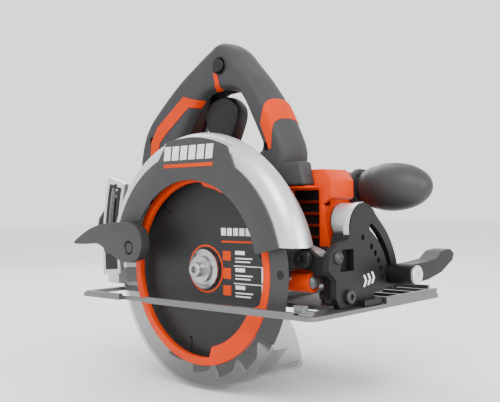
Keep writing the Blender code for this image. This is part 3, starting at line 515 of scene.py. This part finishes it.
# Side outlines of the coloured inlays: a thin seam that falls from the lock-off button and steps back
# along the grip, and a chevron across the front brace.
GRIP_INLAY = [
    (-0.0120, 0.1790), (-0.0100, 0.1710), (-0.0130, 0.1660), (-0.0275, 0.1590), (-0.0395, 0.1615),
    (-0.0465, 0.1640), (-0.0790, 0.1410), (-0.0870, 0.1290), (-0.0890, 0.1120), (-0.0790, 0.1120),
    (-0.0770, 0.1270), (-0.0690, 0.1345), (-0.0410, 0.1545), (-0.0225, 0.1525), (-0.0080, 0.1640),
    (-0.0060, 0.1710), (-0.0080, 0.1790),
]
BRACE_INLAY = [
    (0.0420, 0.1575), (0.0600, 0.1620), (0.0650, 0.1440), (0.0510, 0.1405), (0.0485, 0.1350),
    (0.0470, 0.1160), (0.0450, 0.1160), (0.0370, 0.1355),
]
LOCK_OFF, LOCK_OFF_HOLE = (-0.0050, 0.1840), 0.0064
HANDLE_SCREWS = ((0.0420, 0.1330), (-0.0860, 0.1300), (0.0420, 0.1180), (-0.0700, 0.0600))
HANDLE_HALF, HANDLE_CORNER = 0.0164, 0.0088
# Half the gap between the shells, and a distance from their seam that is past their outer faces
SEAM, BEYOND = 0.00015, 0.03


def handle_span(side, depth):
    """The Y range from this deep in one half of the handle to beyond its outer face."""
    return sorted((GRIP_Y + side * depth, GRIP_Y + side * BEYOND))


def handle_form(grow=0.0):
    """The loop handle as one soft-edged slab with a finger gap."""
    outer = smooth_line(HANDLE_OUTER, 5)
    gap = smooth_line(HANDLE_GAP, 5)
    return pillow_mesh(outer, gap, GRIP_Y, HANDLE_HALF + grow, HANDLE_CORNER, grow)


def lock_off_hole():
    return rod_mesh("Y", LOCK_OFF, LOCK_OFF_HOLE, GRIP_Y - BEYOND, GRIP_Y + BEYOND)


def make_handle_shell(side, word):
    half = shared(handle_form(), box_mesh(-0.2, 0.2, *handle_span(side, SEAM), 0.0, 0.3))
    hollow = plate_mesh("Y", [TRIGGER_POCKET], GRIP_Y - 0.0075, GRIP_Y + 0.0075)
    wells = [rod_mesh("Y", point, 0.0034, *handle_span(side, 0.006), 24) for point in HANDLE_SCREWS]
    half = cut(half, hollow, lock_off_hole(), *wells)
    shell = piece(f"handle_skin_{word}", half, "grip_rubber", "saw", 38)
    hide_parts(f"handle_shell_{word}")


def make_handle_inlays(side, word):
    """Soft-touch inlays set a little proud of the shell."""
    for label, outline, depth in (("grip_inlay", GRIP_INLAY, 0.0085), ("brace_inlay", BRACE_INLAY, SEAM)):
        inlay = shared(handle_form(0.0004), plate_mesh("Y", [outline], *handle_span(side, depth)))
        made = piece(f"{label}_{word}", cut(inlay, lock_off_hole()), "orange_rubber", "saw", 38)


def make_lock_off_collar(side, word):
    face = GRIP_Y + side * 0.0150
    profile = [(-0.003, 0.0059), (0.0018, 0.0059), (0.0022, 0.0066), (0.0016, 0.0074), (-0.003, 0.0074)]
    collar = turned_mesh("Y", LOCK_OFF, [(face + side * out, radius) for out, radius in profile], 48)
    piece(f"lock_off_collar_{word}", collar, "black_plastic", "saw")


def make_handle():
    """Two moulded shells meeting at a seam, with their inlays and the lock-off button's collars."""
    for side, word in ((-1, "right"), (1, "left")):
        make_handle_shell(side, word)
        make_handle_inlays(side, word)
        make_lock_off_collar(side, word)


def make_trigger():
    """A curved trigger with rounded edges."""
    outline = smooth_line([(-0.0120, 0.1612), (-0.0030, 0.1585), (0.0036, 0.1515), (0.0042, 0.1440),
                           (0.0010, 0.1350), (-0.0030, 0.1270), (-0.0062, 0.1205), (-0.0165, 0.1195),
                           (-0.0255, 0.1290), (-0.0315, 0.1450), (-0.0260, 0.1565)], 4)
    body = rounded(plate_mesh("Y", [outline], GRIP_Y - 0.0068, GRIP_Y + 0.0068), 0.0016, 3, 50)
    made = piece("trigger_skin", body, "black_plastic", "trigger", 50)
    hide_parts("trigger")


# ---------------------------------------------------------------- blade and guards

BLADE_R, TEETH = 0.0825, 18
TOOTH_PITCH = 2 * math.pi / TEETH
TOOTH_PHASE = math.radians(-141.4)
# The curve of one gullet: (share of the tooth pitch, depth below the tips)
GULLET = [
    (0.11, 0.0098), (0.19, 0.0112), (0.28, 0.0104), (0.36, 0.0082),
    (0.46, 0.0050), (0.60, 0.0034), (0.80, 0.0022), (0.93, 0.0012),
]
# One expansion slot: (radius, turn about the arbor)
EXPANSION_SLOT = [
    (BLADE_R - 0.0120, -0.006), (0.064, -0.007), (0.058, -0.030), (0.057, -0.070),
    (0.0555, -0.068), (0.0565, -0.022), (0.064, 0.008), (BLADE_R - 0.0120, 0.006),
]
# One carbide tip: (depth below the tip circle, turn about the arbor)
CARBIDE_TIP = [(0, 0), (0.0072, -0.014), (0.0070, -0.040), (0.0006, -0.030)]


def polar(radius, angle):
    """The point at this radius and angle, in radians, about the arbor."""
    return (ARBOR[0] + radius * math.cos(angle), ARBOR[1] + radius * math.sin(angle))


def blade_rim():
    """Hooked teeth with curved gullets."""
    rim = []
    for i in range(TEETH):
        tip = TOOTH_PHASE - TOOTH_PITCH * i
        rim += [polar(BLADE_R - 0.0008, tip - 0.012), polar(BLADE_R - 0.0062, tip - 0.030)]
        rim += [polar(BLADE_R - depth, tip - TOOTH_PITCH * share) for share, depth in GULLET]
    return rim


def expansion_slot(k):
    base = TOOTH_PHASE + TOOTH_PITCH * (6 * k + 2) - TOOTH_PITCH * 0.2
    return [polar(radius, base + turn) for radius, turn in EXPANSION_SLOT]


def make_blade_plate():
    slots = [expansion_slot(k) for k in range(3)]
    body = plate_mesh("Y", [blade_rim(), circle(ARBOR, 0.0050), *slots], left(-0.0009), left(0.0009))
    blade = piece("blade_plate", body, "blade_steel", "arbor")
    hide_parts("blade")


def make_carbide_tips():
    """All the tips as one piece, a little thicker than the plate."""
    tips = bmesh.new()
    for i in range(TEETH):
        tip = TOOTH_PHASE + TOOTH_PITCH * i
        outline = [polar(BLADE_R - depth, tip + turn) for depth, turn in CARBIDE_TIP]
        part = plate_mesh("Y", [outline], left(-0.0010), left(0.0010))
        mesh = bpy.data.meshes.new("tip")
        part.to_mesh(mesh)
        part.free()
        tips.from_mesh(mesh)
        bpy.data.meshes.remove(mesh)
    piece("carbide_tips", tips, "carbide", "arbor")


def make_blade_print():
    """Printed marks: a ring round the flange and a generic block label of bars, with no lettering."""
    low, high = left(-0.00105), left(-0.00088)
    ring = plate_mesh("Y", [circle(ARBOR, 0.0182, 96), circle(ARBOR, 0.0168, 96)], low, high)
    piece("blade_ring_print", ring, "print_orange", "arbor")
    # (x, z, wide, tall, material): a title, three rows with an orange marker, and two framed boxes
    blocks = [(0.0165 + 0.0062 * i, 0.0524, 0.0048, 0.0056, "print_white") for i in range(5)]
    blocks += [(0.0170, 0.0472, 0.0305, 0.0014, "print_orange")]
    rows = ((0.0340, 0.0070), (0.0205, 0.0080), (0.0082, 0.0075))
    blocks += [(0.0180, z, 0.0080, tall, "print_orange") for z, tall in rows]
    for z, tall in rows:
        blocks += [(0.0305, z + tall - 0.0024, 0.0095, 0.0028, "print_white"),
                   (0.0305, z + tall - 0.0056, 0.0170, 0.0010, "print_white"),
                   (0.0305, z + tall - 0.0080, 0.0150, 0.0010, "print_white")]
    for low_z, high_z in ((0.0190, 0.0300), (0.0070, 0.0172)):
        blocks += [(0.0290, high_z, 0.0300, 0.0007, "print_white"),
                   (0.0560, low_z, 0.0030, high_z - low_z, "print_white")]
    for i, (x, z, wide, tall, material) in enumerate(blocks):
        bar = box_mesh(x, x + wide, low, high, z, z + tall)
        piece(f"blade_print_{i + 1}", bar, material, "arbor")


def make_blade():
    make_blade_plate()
    make_carbide_tips()
    make_blade_print()


def make_guard_shell():
    """The cast shell, with a rolled shoulder, a stepped rim and an open underside."""
    shoulder = smooth_line([(-0.0170, 0.0890), (-0.0165, 0.0932), (-0.0146, 0.0968), (-0.0112, 0.1002),
                            (-0.0072, 0.1021), (-0.0052, 0.1026)], 4, closed=False)
    rim = [(-0.0040, 0.1026), (-0.0038, 0.1019), (-0.0010, 0.1012), (-0.0008, 0.1005), (0.0012, 0.0999),
           (0.0048, 0.0981), (0.0100, 0.0949), (0.0150, 0.0916), (0.0200, 0.0883)]
    inner = [(0.0200, 0.0868), (0.0164, 0.0886), (0.0152, 0.0898), (0.0100, 0.0930), (0.0048, 0.0962),
             (0.0000, 0.0990), (-0.0055, 0.1004), (-0.0098, 0.0985), (-0.0136, 0.0945), (-0.0150, 0.0885),
             (-0.0150, 0.0692)]
    profile = [(-0.0170, 0.0692)] + shoulder + rim + inner
    shell = turned_mesh("Y", ARBOR, [(left(y), radius) for y, radius in profile], 144)
    below = [(-0.12, -0.10), (0.12, -0.10), (0.12, 0.0450), (0.0860, 0.0460), (0.060, 0.041), (0.0, 0.030),
             (-0.055, 0.057), (-0.085, 0.060), (-0.12, 0.060)]
    shell = cut(shell, plate_mesh("Y", [below], left(-0.03), left(0.03)))
    made = piece("upper_guard_shell", shell, "silver_cast", "saw", 24)
    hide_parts("upper_guard")


def make_guard_band():
    """The dark band along the shell's near face, raised behind the badge."""
    front, rear = 12, 158
    edge = arc(ARBOR, 0.0880, front, 58, 20) + arc(ARBOR, 0.0985, 66, 104, 20)
    edge += arc(ARBOR, 0.0890, 112, rear, 20) + arc(ARBOR, 0.0668, rear, front, 60)
    cover = rounded(plate_mesh("Y", [edge], left(-0.0184), left(-0.0173)), 0.0004, 2)
    made = piece("guard_band_cover", cover, "grey_plastic", "saw")
    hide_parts("guard_band")


def make_guard_pad():
    """A flat pad on the shell under the band's raised top, so the band doesn't overhang the shoulder."""
    edge = arc(ARBOR, 0.0990, 64, 106, 20) + arc(ARBOR, 0.0880, 106, 64, 20)
    pad = rounded(plate_mesh("Y", [edge], left(-0.0172), left(-0.0112)), 0.0008, 2)
    piece("guard_pad", pad, "silver_cast", "saw")


def make_guard_mark():
    """A plain badge in place of a name: a row of slanted blocks over one bar."""
    low, high = left(-0.0187), left(-0.0183)
    count, wide, gap, foot, tall, slant = 6, 0.0070, 0.0020, 0.1090, 0.0105, 0.0016
    for i in range(count):
        x = -0.0265 + i * (wide + gap)
        outline = [(x, foot), (x + wide, foot), (x + wide + slant, foot + tall), (x + slant, foot + tall)]
        piece(f"badge_block_{i + 1}", plate_mesh("Y", [outline], low, high), "print_white", "saw")
    bar = box_mesh(-0.0265, 0.0258, low, high, 0.1035, 0.1062)
    piece("badge_bar", bar, "print_orange", "saw")


def make_upper_guard():
    make_guard_shell()
    make_guard_band()
    make_guard_pad()
    make_guard_mark()


def guard_mouth():
    """The channel's front end: its near and far walls' lips, and the flare that joins them below."""
    near_lip = smooth_line([(0.0440, -0.0140), (0.0550, -0.0150), (0.0636, -0.0172), (0.0710, -0.0222),
                            (0.0762, -0.0295), (0.0779, -0.0360), (0.0755, -0.0395), (0.0660, -0.0412),
                            (0.0540, -0.0420), (0.0470, -0.0340)], 4)
    far_lip = smooth_line([(0.0560, 0.0020), (0.0655, -0.0050), (0.0712, -0.0120), (0.0750, -0.0200),
                           (0.0775, -0.0280), (0.0784, -0.0345), (0.0755, -0.0398), (0.0660, -0.0415),
                           (0.0540, -0.0420), (0.0450, -0.0300), (0.0480, -0.0100)], 4)
    flare = smooth_line([(0.0550, -0.0431), (0.0660, -0.0431), (0.0755, -0.0413), (0.0796, -0.0370),
                         (0.0781, -0.0345), (0.0755, -0.0392), (0.0660, -0.0411), (0.0550, -0.0411)], 4)
    return [plate_mesh("Y", [near_lip], left(-0.0099), left(-0.0086)),
            plate_mesh("Y", [far_lip], left(0.0133), left(0.0149)),
            plate_mesh("Y", [flare], left(-0.0098), left(0.0148))]


def make_guard_channel():
    """The smoke channel: a shallow near wall, a deep far wall, rolled edges and a flared mouth."""
    rim, wall = 0.0890, 0.0018
    profile = [(-0.0100, 0.0716), (-0.0100, rim - 0.0020), (-0.0094, rim - 0.0006), (-0.0080, rim),
               (0.0130, rim), (0.0144, rim - 0.0006), (0.0150, rim - 0.0020), (0.0150, 0.0206),
               (0.0122, 0.0206), (0.0122, 0.0250), (0.0132, 0.0250), (0.0132, rim - wall - 0.0010),
               (0.0122, rim - wall), (-0.0075, rim - wall), (-0.0085, rim - wall - 0.0010),
               (-0.0085, 0.0716)]
    shell = turned_mesh("Y", ARBOR, [(left(y), radius) for y, radius in profile], 120)
    front, rear = -38, 166
    wedge = arc(ARBOR, 0.12, front, rear, 40) + arc(ARBOR, 0.0262, rear, front, 40)
    shell = cut(shell, plate_mesh("Y", [wedge], left(-0.02), left(0.02)))
    shell = join(shell, *guard_mouth())
    made = piece("lower_guard_shell", shell, "smoke_plastic", "guard", 30)
    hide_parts("lower_guard")


def make_guard_ring():
    """The orange ring on the channel's near wall, wider for a short way at its top and its lower front."""
    inner = arc(ARBOR, 0.0655, -20, 62, 40) + arc(ARBOR, 0.0625, 65, 83, 10)
    inner += arc(ARBOR, 0.0655, 86, 280, 80) + arc(ARBOR, 0.0580, 284, 334, 24)
    ring = plate_mesh("Y", [circle(ARBOR, 0.0714, 140), inner], left(-0.0104), left(-0.0060))
    made = piece("guard_ring_rim", rounded(ring, 0.0006, 2), "orange_plastic", "guard", 30)
    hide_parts("guard_ring")


def make_lower_guard():
    make_guard_channel()
    make_guard_ring()


def make_guard_column():
    """The opaque front of the lower guard's near wall, with its round hole."""
    outline = arc(ARBOR, 0.0886, -33, 13, 16) + arc(ARBOR, 0.0722, 14, -37, 16)
    column = rounded(plate_mesh("Y", [outline, circle(polar(0.0812, 0.0), 0.0030, 24)],
                                left(-0.0104), left(-0.0101)), 0.0001, 1)
    piece("guard_column", column, "grey_plastic", "guard")
    plug = rod_mesh("Y", polar(0.0812, 0.0), 0.0029, left(-0.0102), left(-0.0101), 24)
    piece("guard_column_hole", plug, "black_plastic", "guard")


def make_lift_lever():
    """The paddle that lifts the lower guard: a thumb plate on a round boss, with a socket for its screw."""
    outline = smooth_line([(-0.1310, 0.0445), (-0.1220, 0.0508), (-0.1063, 0.0576), (-0.0880, 0.0612),
                           (-0.0640, 0.0626), (-0.0505, 0.0596), (-0.0445, 0.0530), (-0.0430, 0.0440),
                           (-0.0475, 0.0350), (-0.0570, 0.0314), (-0.0690, 0.0318), (-0.0859, 0.0392),
                           (-0.0987, 0.0446), (-0.1146, 0.0440)], 6)
    body = rounded(plate_mesh("Y", [outline], left(-0.0284), left(-0.0196)), 0.0026, 4, 40)
    hub = (-0.0590, 0.0425)
    socket = [(-0.0300, 0), (-0.0300, 0.0066), (-0.0283, 0.0060), (-0.0276, 0.0052), (-0.0240, 0.0050),
              (-0.0240, 0)]
    body = join(body, rod_mesh("Y", hub, 0.0037, left(-0.0205), left(-0.0107)))
    body = cut(body, turned_mesh("Y", hub, [(left(y), radius) for y, radius in socket], 48))
    made = piece("lift_paddle", body, "grey_plastic", "guard", 40)
    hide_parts("lift_lever")


# ---------------------------------------------------------------- housing, grips and small parts


def dome_profile(low, high, radius, steps=8):
    """A low dome's turned profile, from its rim at low to its crown at high."""
    angles = [math.radians(90 * i / steps) for i in range(steps + 1)]
    return [(low + (high - low) * math.sin(a), radius * math.cos(a)) for a in angles]


def make_pommel():
    """An egg on a stepped neck, with a moulded seam round it."""
    centre, long_half, wide_half = 0.1020, 0.0330, 0.0185
    seam, seam_half, seam_depth = 0.0905, 0.0011, 0.0006
    profile = [(0.0695, 0), (0.0695, 0.0144), (0.0700, 0.0150), (0.0722, 0.0150), (0.0727, 0.0141),
               (0.0742, 0.0141), (0.0748, 0.0147)]
    for i in range(33):
        a = math.radians(145 * (1 - i / 32))
        x = centre + long_half * math.cos(a)
        profile.append((x, wide_half * math.sin(a) - (seam_depth if abs(x - seam) < seam_half else 0)))
    profile[-1] = (centre + long_half, 0)
    made = piece("pommel_skin", turned_mesh("X", POMMEL, profile, 96), "grey_plastic", "saw", 30)
    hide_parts("front_pommel")


CASING_STEP, CASING_END = left(0.0640), left(0.1080)
# Each part's foremost X, and the points of its front edge: (distance behind that X, height)
CASING_FRONT = (0.0905, [(0, 0.0370), (0.0080, 0.0745), (0, 0.0795)])
CASING_REAR = (0.0690, [(0, 0.0400)])


def casing_outline(part, inset):
    """One casing part's side outline, this far inside its outer skin."""
    front, nose = part
    outer = [(-0.0450, 0.030), (-0.0330, 0.0180), (front - 0.030, 0.0155), (front - 0.0125, 0.0220)]
    outer += [(front - back, height) for back, height in nose]
    outer += [(front, 0.092), (front - 0.0065, 0.1000), (-0.030, 0.1010), (-0.0450, 0.088)]
    x_middle, z_middle = 0.015, 0.060
    return [(x - math.copysign(inset, x - x_middle), z - math.copysign(inset, z - z_middle))
            for x, z in outer]


def make_casing_front():
    """The part beside the guard, with an air cavity in its near wall and ribs across the opening."""
    front = cut(plate_mesh("Y", [casing_outline(CASING_FRONT, 0)], left(0.0364), CASING_STEP),
                plate_mesh("Y", [casing_outline(CASING_FRONT, 0.003)], left(0.0394), CASING_STEP + 0.001),
                box_mesh(0.0545, 0.0796, left(0.0350), left(0.0400), 0.0420, 0.0850))
    front = rounded(front, 0.0012, 2)
    piece("casing_front", front, "orange_plastic", "saw")
    for i in range(4):
        low = 0.0494 + 0.0086 * i
        bar = rounded(box_mesh(0.0547, 0.0794, left(0.0372), left(0.0388), low, low + 0.0024), 0.0005, 2)
        piece(f"cavity_rib_{i + 1}", bar, "shaded_orange", "saw")


def make_casing_rear():
    """The shorter part on the left of the step, open at both ends."""
    hollow = plate_mesh("Y", [casing_outline(CASING_REAR, 0.0032)], CASING_STEP - 0.001, CASING_END + 0.001)
    rear = plate_mesh("Y", [casing_outline(CASING_REAR, 0.0002)], CASING_STEP + 0.0002, CASING_END)
    rear = cut(rear, hollow)
    rear = piece("casing_rear", rounded(rear, 0.0012, 2), "orange_plastic", "saw")
    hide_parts("motor_housing")


def make_casing_details():
    """The cavity's floor, a black sheet that paints the shade deep in the cavity, the ledge over it, and
    the foot of the handle's brace.
    """
    # A black sheet at the back of the cavity: painted shade where the hollow lies in shadow.
    painted_shade = box_mesh(0.0550, 0.0792, left(0.0388), left(0.0392), 0.0425, 0.0845)
    piece("cavity_shade_floor", painted_shade, "black_plastic", "saw")
    ledge = rounded(box_mesh(0.0500, 0.0790, left(0.0245), left(0.0367), 0.0863, 0.0882), 0.0007, 2)
    piece("casing_ledge", ledge, "orange_plastic", "saw")
    foot = [(0.0480, 0.0886), (0.0775, 0.0886), (0.0752, 0.0970), (0.0738, 0.1060), (0.0480, 0.1060)]
    foot = rounded(plate_mesh("Y", [foot], left(0.0218), left(0.0361)), 0.0025, 3)
    piece("brace_foot", foot, "grip_rubber", "saw")


def make_casing():
    make_casing_front()
    make_casing_rear()
    make_casing_details()


def make_drum():
    """The bright drum behind the bevel plate, and the matching band round the plate's upper lobe."""
    centre, r = (left(0.044), 0.0625), 0.0127
    profile = [(0.0924, 0), (0.0924, r - 0.0024), (0.0927, r - 0.0012), (0.0934, r - 0.0004), (0.0944, r),
               (0.1058, r), (0.1058, 0)]
    drum = turned_mesh("X", centre, profile, 72)
    piece("drum_skin", drum, "silver_cast", "swivel")
    lobe = (left(0.046), 0.0575)
    edge = arc(lobe, 0.0184, 88, 196, 28) + arc(lobe, 0.0179, 196, 88, 28)
    band = plate_mesh("X", [edge], 0.1066, 0.1111)
    piece("drum_band", band, "silver_cast", "shoe")


def make_bracket_panel():
    """The dark inset of the depth bracket, between its bright rails, cut through by the same slot."""
    rails, opening = 0.0080, 0.0040
    outline = arc(DEPTH, SLOT_R + rails, 164.4, 184.5, 16) + arc(DEPTH, SLOT_R - rails, 184.5, 164.4, 16)
    slot = arc(DEPTH, SLOT_R + opening, 165.0, 179.5, 16) + arc(DEPTH, SLOT_R - opening, 179.5, 165.0, 16)
    panel = plate_mesh("Y", [outline, slot], left(-0.00025), left(-0.00005))
    piece("bracket_panel", panel, "black_plastic", "swivel")


def make_shoe_corner():
    """The raised near front corner of the shoe, with a slot along its side."""
    near = left(-0.0245)
    block = cut(box_mesh(0.1035, 0.1175, near, near + 0.0045, 0.0031, 0.0100),
                box_mesh(0.1050, 0.1100, near - 0.001, near + 0.0012, 0.0052, 0.0066),
                box_mesh(0.1125, 0.1190, near - 0.001, near + 0.006, 0.0070, 0.0120))
    block = rounded(block, 0.0005, 2)
    piece("shoe_corner", block, "shoe_cast", "shoe")


def make_quadrant_marks():
    """A ball detent at the window, and a plain three-chevron mark."""
    face = 0.1115
    ball = turned_mesh("X", (left(0.0147), 0.0382), dome_profile(face - 0.0002, face + 0.0030, 0.0047), 40)
    piece("detent_ball", ball, "dark_steel", "shoe")
    for i in range(3):
        y, z, wide, tall = left(0.0440) + 0.0050 * i, 0.0160 + 0.0008 * i, 0.0022, 0.0042
        outline = [(y, z), (y + wide, z), (y + wide + 0.0025, z + tall), (y + wide, z + 2 * tall),
                   (y, z + 2 * tall), (y + 0.0025, z + tall)]
        mark = plate_mesh("X", [outline], face + 0.00005, face + 0.0003)
        piece(f"chevron_{i + 1}", mark, "print_white", "shoe")


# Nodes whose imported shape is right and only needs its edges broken: edge radius by name.
SOFT_EDGES = {
    "bevel_quadrant": 0.0007, "shoe": 0.0004, "front_swivel": 0.0008, "depth_bracket": 0.0006,
    "gear_case": 0.0006, "bevel_lever": 0.0016, "motor_cap": 0.0012, "rear_pivot_ear": 0.0005,
    "battery_latch": 0.0005,
}


def soften_nodes():
    for name, radius in SOFT_EDGES.items():
        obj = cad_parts[name]
        modifier = obj.modifiers.new("edges", "BEVEL")
        modifier.width = radius
        modifier.segments = 2
        modifier.limit_method = "ANGLE"
        modifier.angle_limit = math.radians(35)


# ---------------------------------------------------------------- camera, floor and light


LENS_MM, SENSOR_MM = 56.04, 36
CAMERA_PLACE = (0.4216, -0.4746, 0.0769)
AZIMUTH, ELEVATION, ROLL = 42.25, -0.08, -0.81


def make_camera():
    """The photo's view: the camera looks back along its azimuth and elevation, then rolls."""
    camera = bpy.data.objects.new("camera", bpy.data.cameras.new("camera"))
    camera.data.lens = LENS_MM
    camera.data.sensor_width = SENSOR_MM
    azimuth, elevation, roll = map(math.radians, (AZIMUTH, ELEVATION, ROLL))
    back = Vector((math.sin(azimuth) * math.cos(elevation), -math.cos(azimuth) * math.cos(elevation),
                   math.sin(elevation)))
    across = Vector((math.cos(azimuth), math.sin(azimuth), 0))
    up = back.cross(across)
    right = math.cos(roll) * across + math.sin(roll) * up
    top = math.cos(roll) * up - math.sin(roll) * across
    turn = Matrix((right, top, back)).transposed().to_4x4()
    camera.matrix_world = Matrix.Translation(CAMERA_PLACE) @ turn
    bpy.context.scene.collection.objects.link(camera)
    bpy.context.scene.camera = camera


def make_floor():
    mesh = bpy.data.meshes.new("floor")
    bm = bmesh.new()
    bmesh.ops.create_grid(bm, x_segments=1, y_segments=1, size=4)
    bm.to_mesh(mesh)
    bm.free()
    material, tree, shader, place = base_material("floor", 0.9)
    tree.links.new(ramp(tree, noise(tree, place, 3, 3), [(0.2, grey(0.86)), (0.8, grey(0.9))]),
                   shader.inputs["Base Color"])
    mesh.materials.append(material)
    floor = bpy.data.objects.new("floor", mesh)
    floor.location.z = CAD_BOX[0][2] - 0.001
    bpy.context.scene.collection.objects.link(floor)


def make_light(name, place, target, size, watts):
    light = bpy.data.lights.new(name, "AREA")
    light.size = size
    light.energy = watts
    lamp = bpy.data.objects.new(name, light)
    lamp.location = place
    lamp.rotation_euler = (Vector(target) - Vector(place)).to_track_quat("-Z", "Y").to_euler()
    bpy.context.scene.collection.objects.link(lamp)


def make_studio():
    """An even white surround with three soft lamps aimed at the saw's middle."""
    world = bpy.data.worlds.new("studio")
    world.use_nodes = True
    background = world.node_tree.nodes["Background"]
    background.inputs["Color"].default_value = (1, 1, 1, 1)
    background.inputs["Strength"].default_value = 1.7
    bpy.context.scene.world = world
    middle = (0, 0, 0.06)
    make_light("key", (0.55, -0.75, 0.85), middle, size=0.6, watts=9)
    make_light("front", (1.0, -0.1, 0.35), middle, size=0.5, watts=5)
    make_light("back", (-0.7, 0.5, 0.8), middle, size=0.6, watts=6)


paint_nodes()
make_handle()
make_trigger()
make_blade()
make_upper_guard()
make_lower_guard()
make_lift_lever()
make_guard_column()
make_pommel()
make_casing()
make_drum()
make_bracket_panel()
make_shoe_corner()
make_quadrant_marks()
soften_nodes()
make_camera()
make_floor()
make_studio()
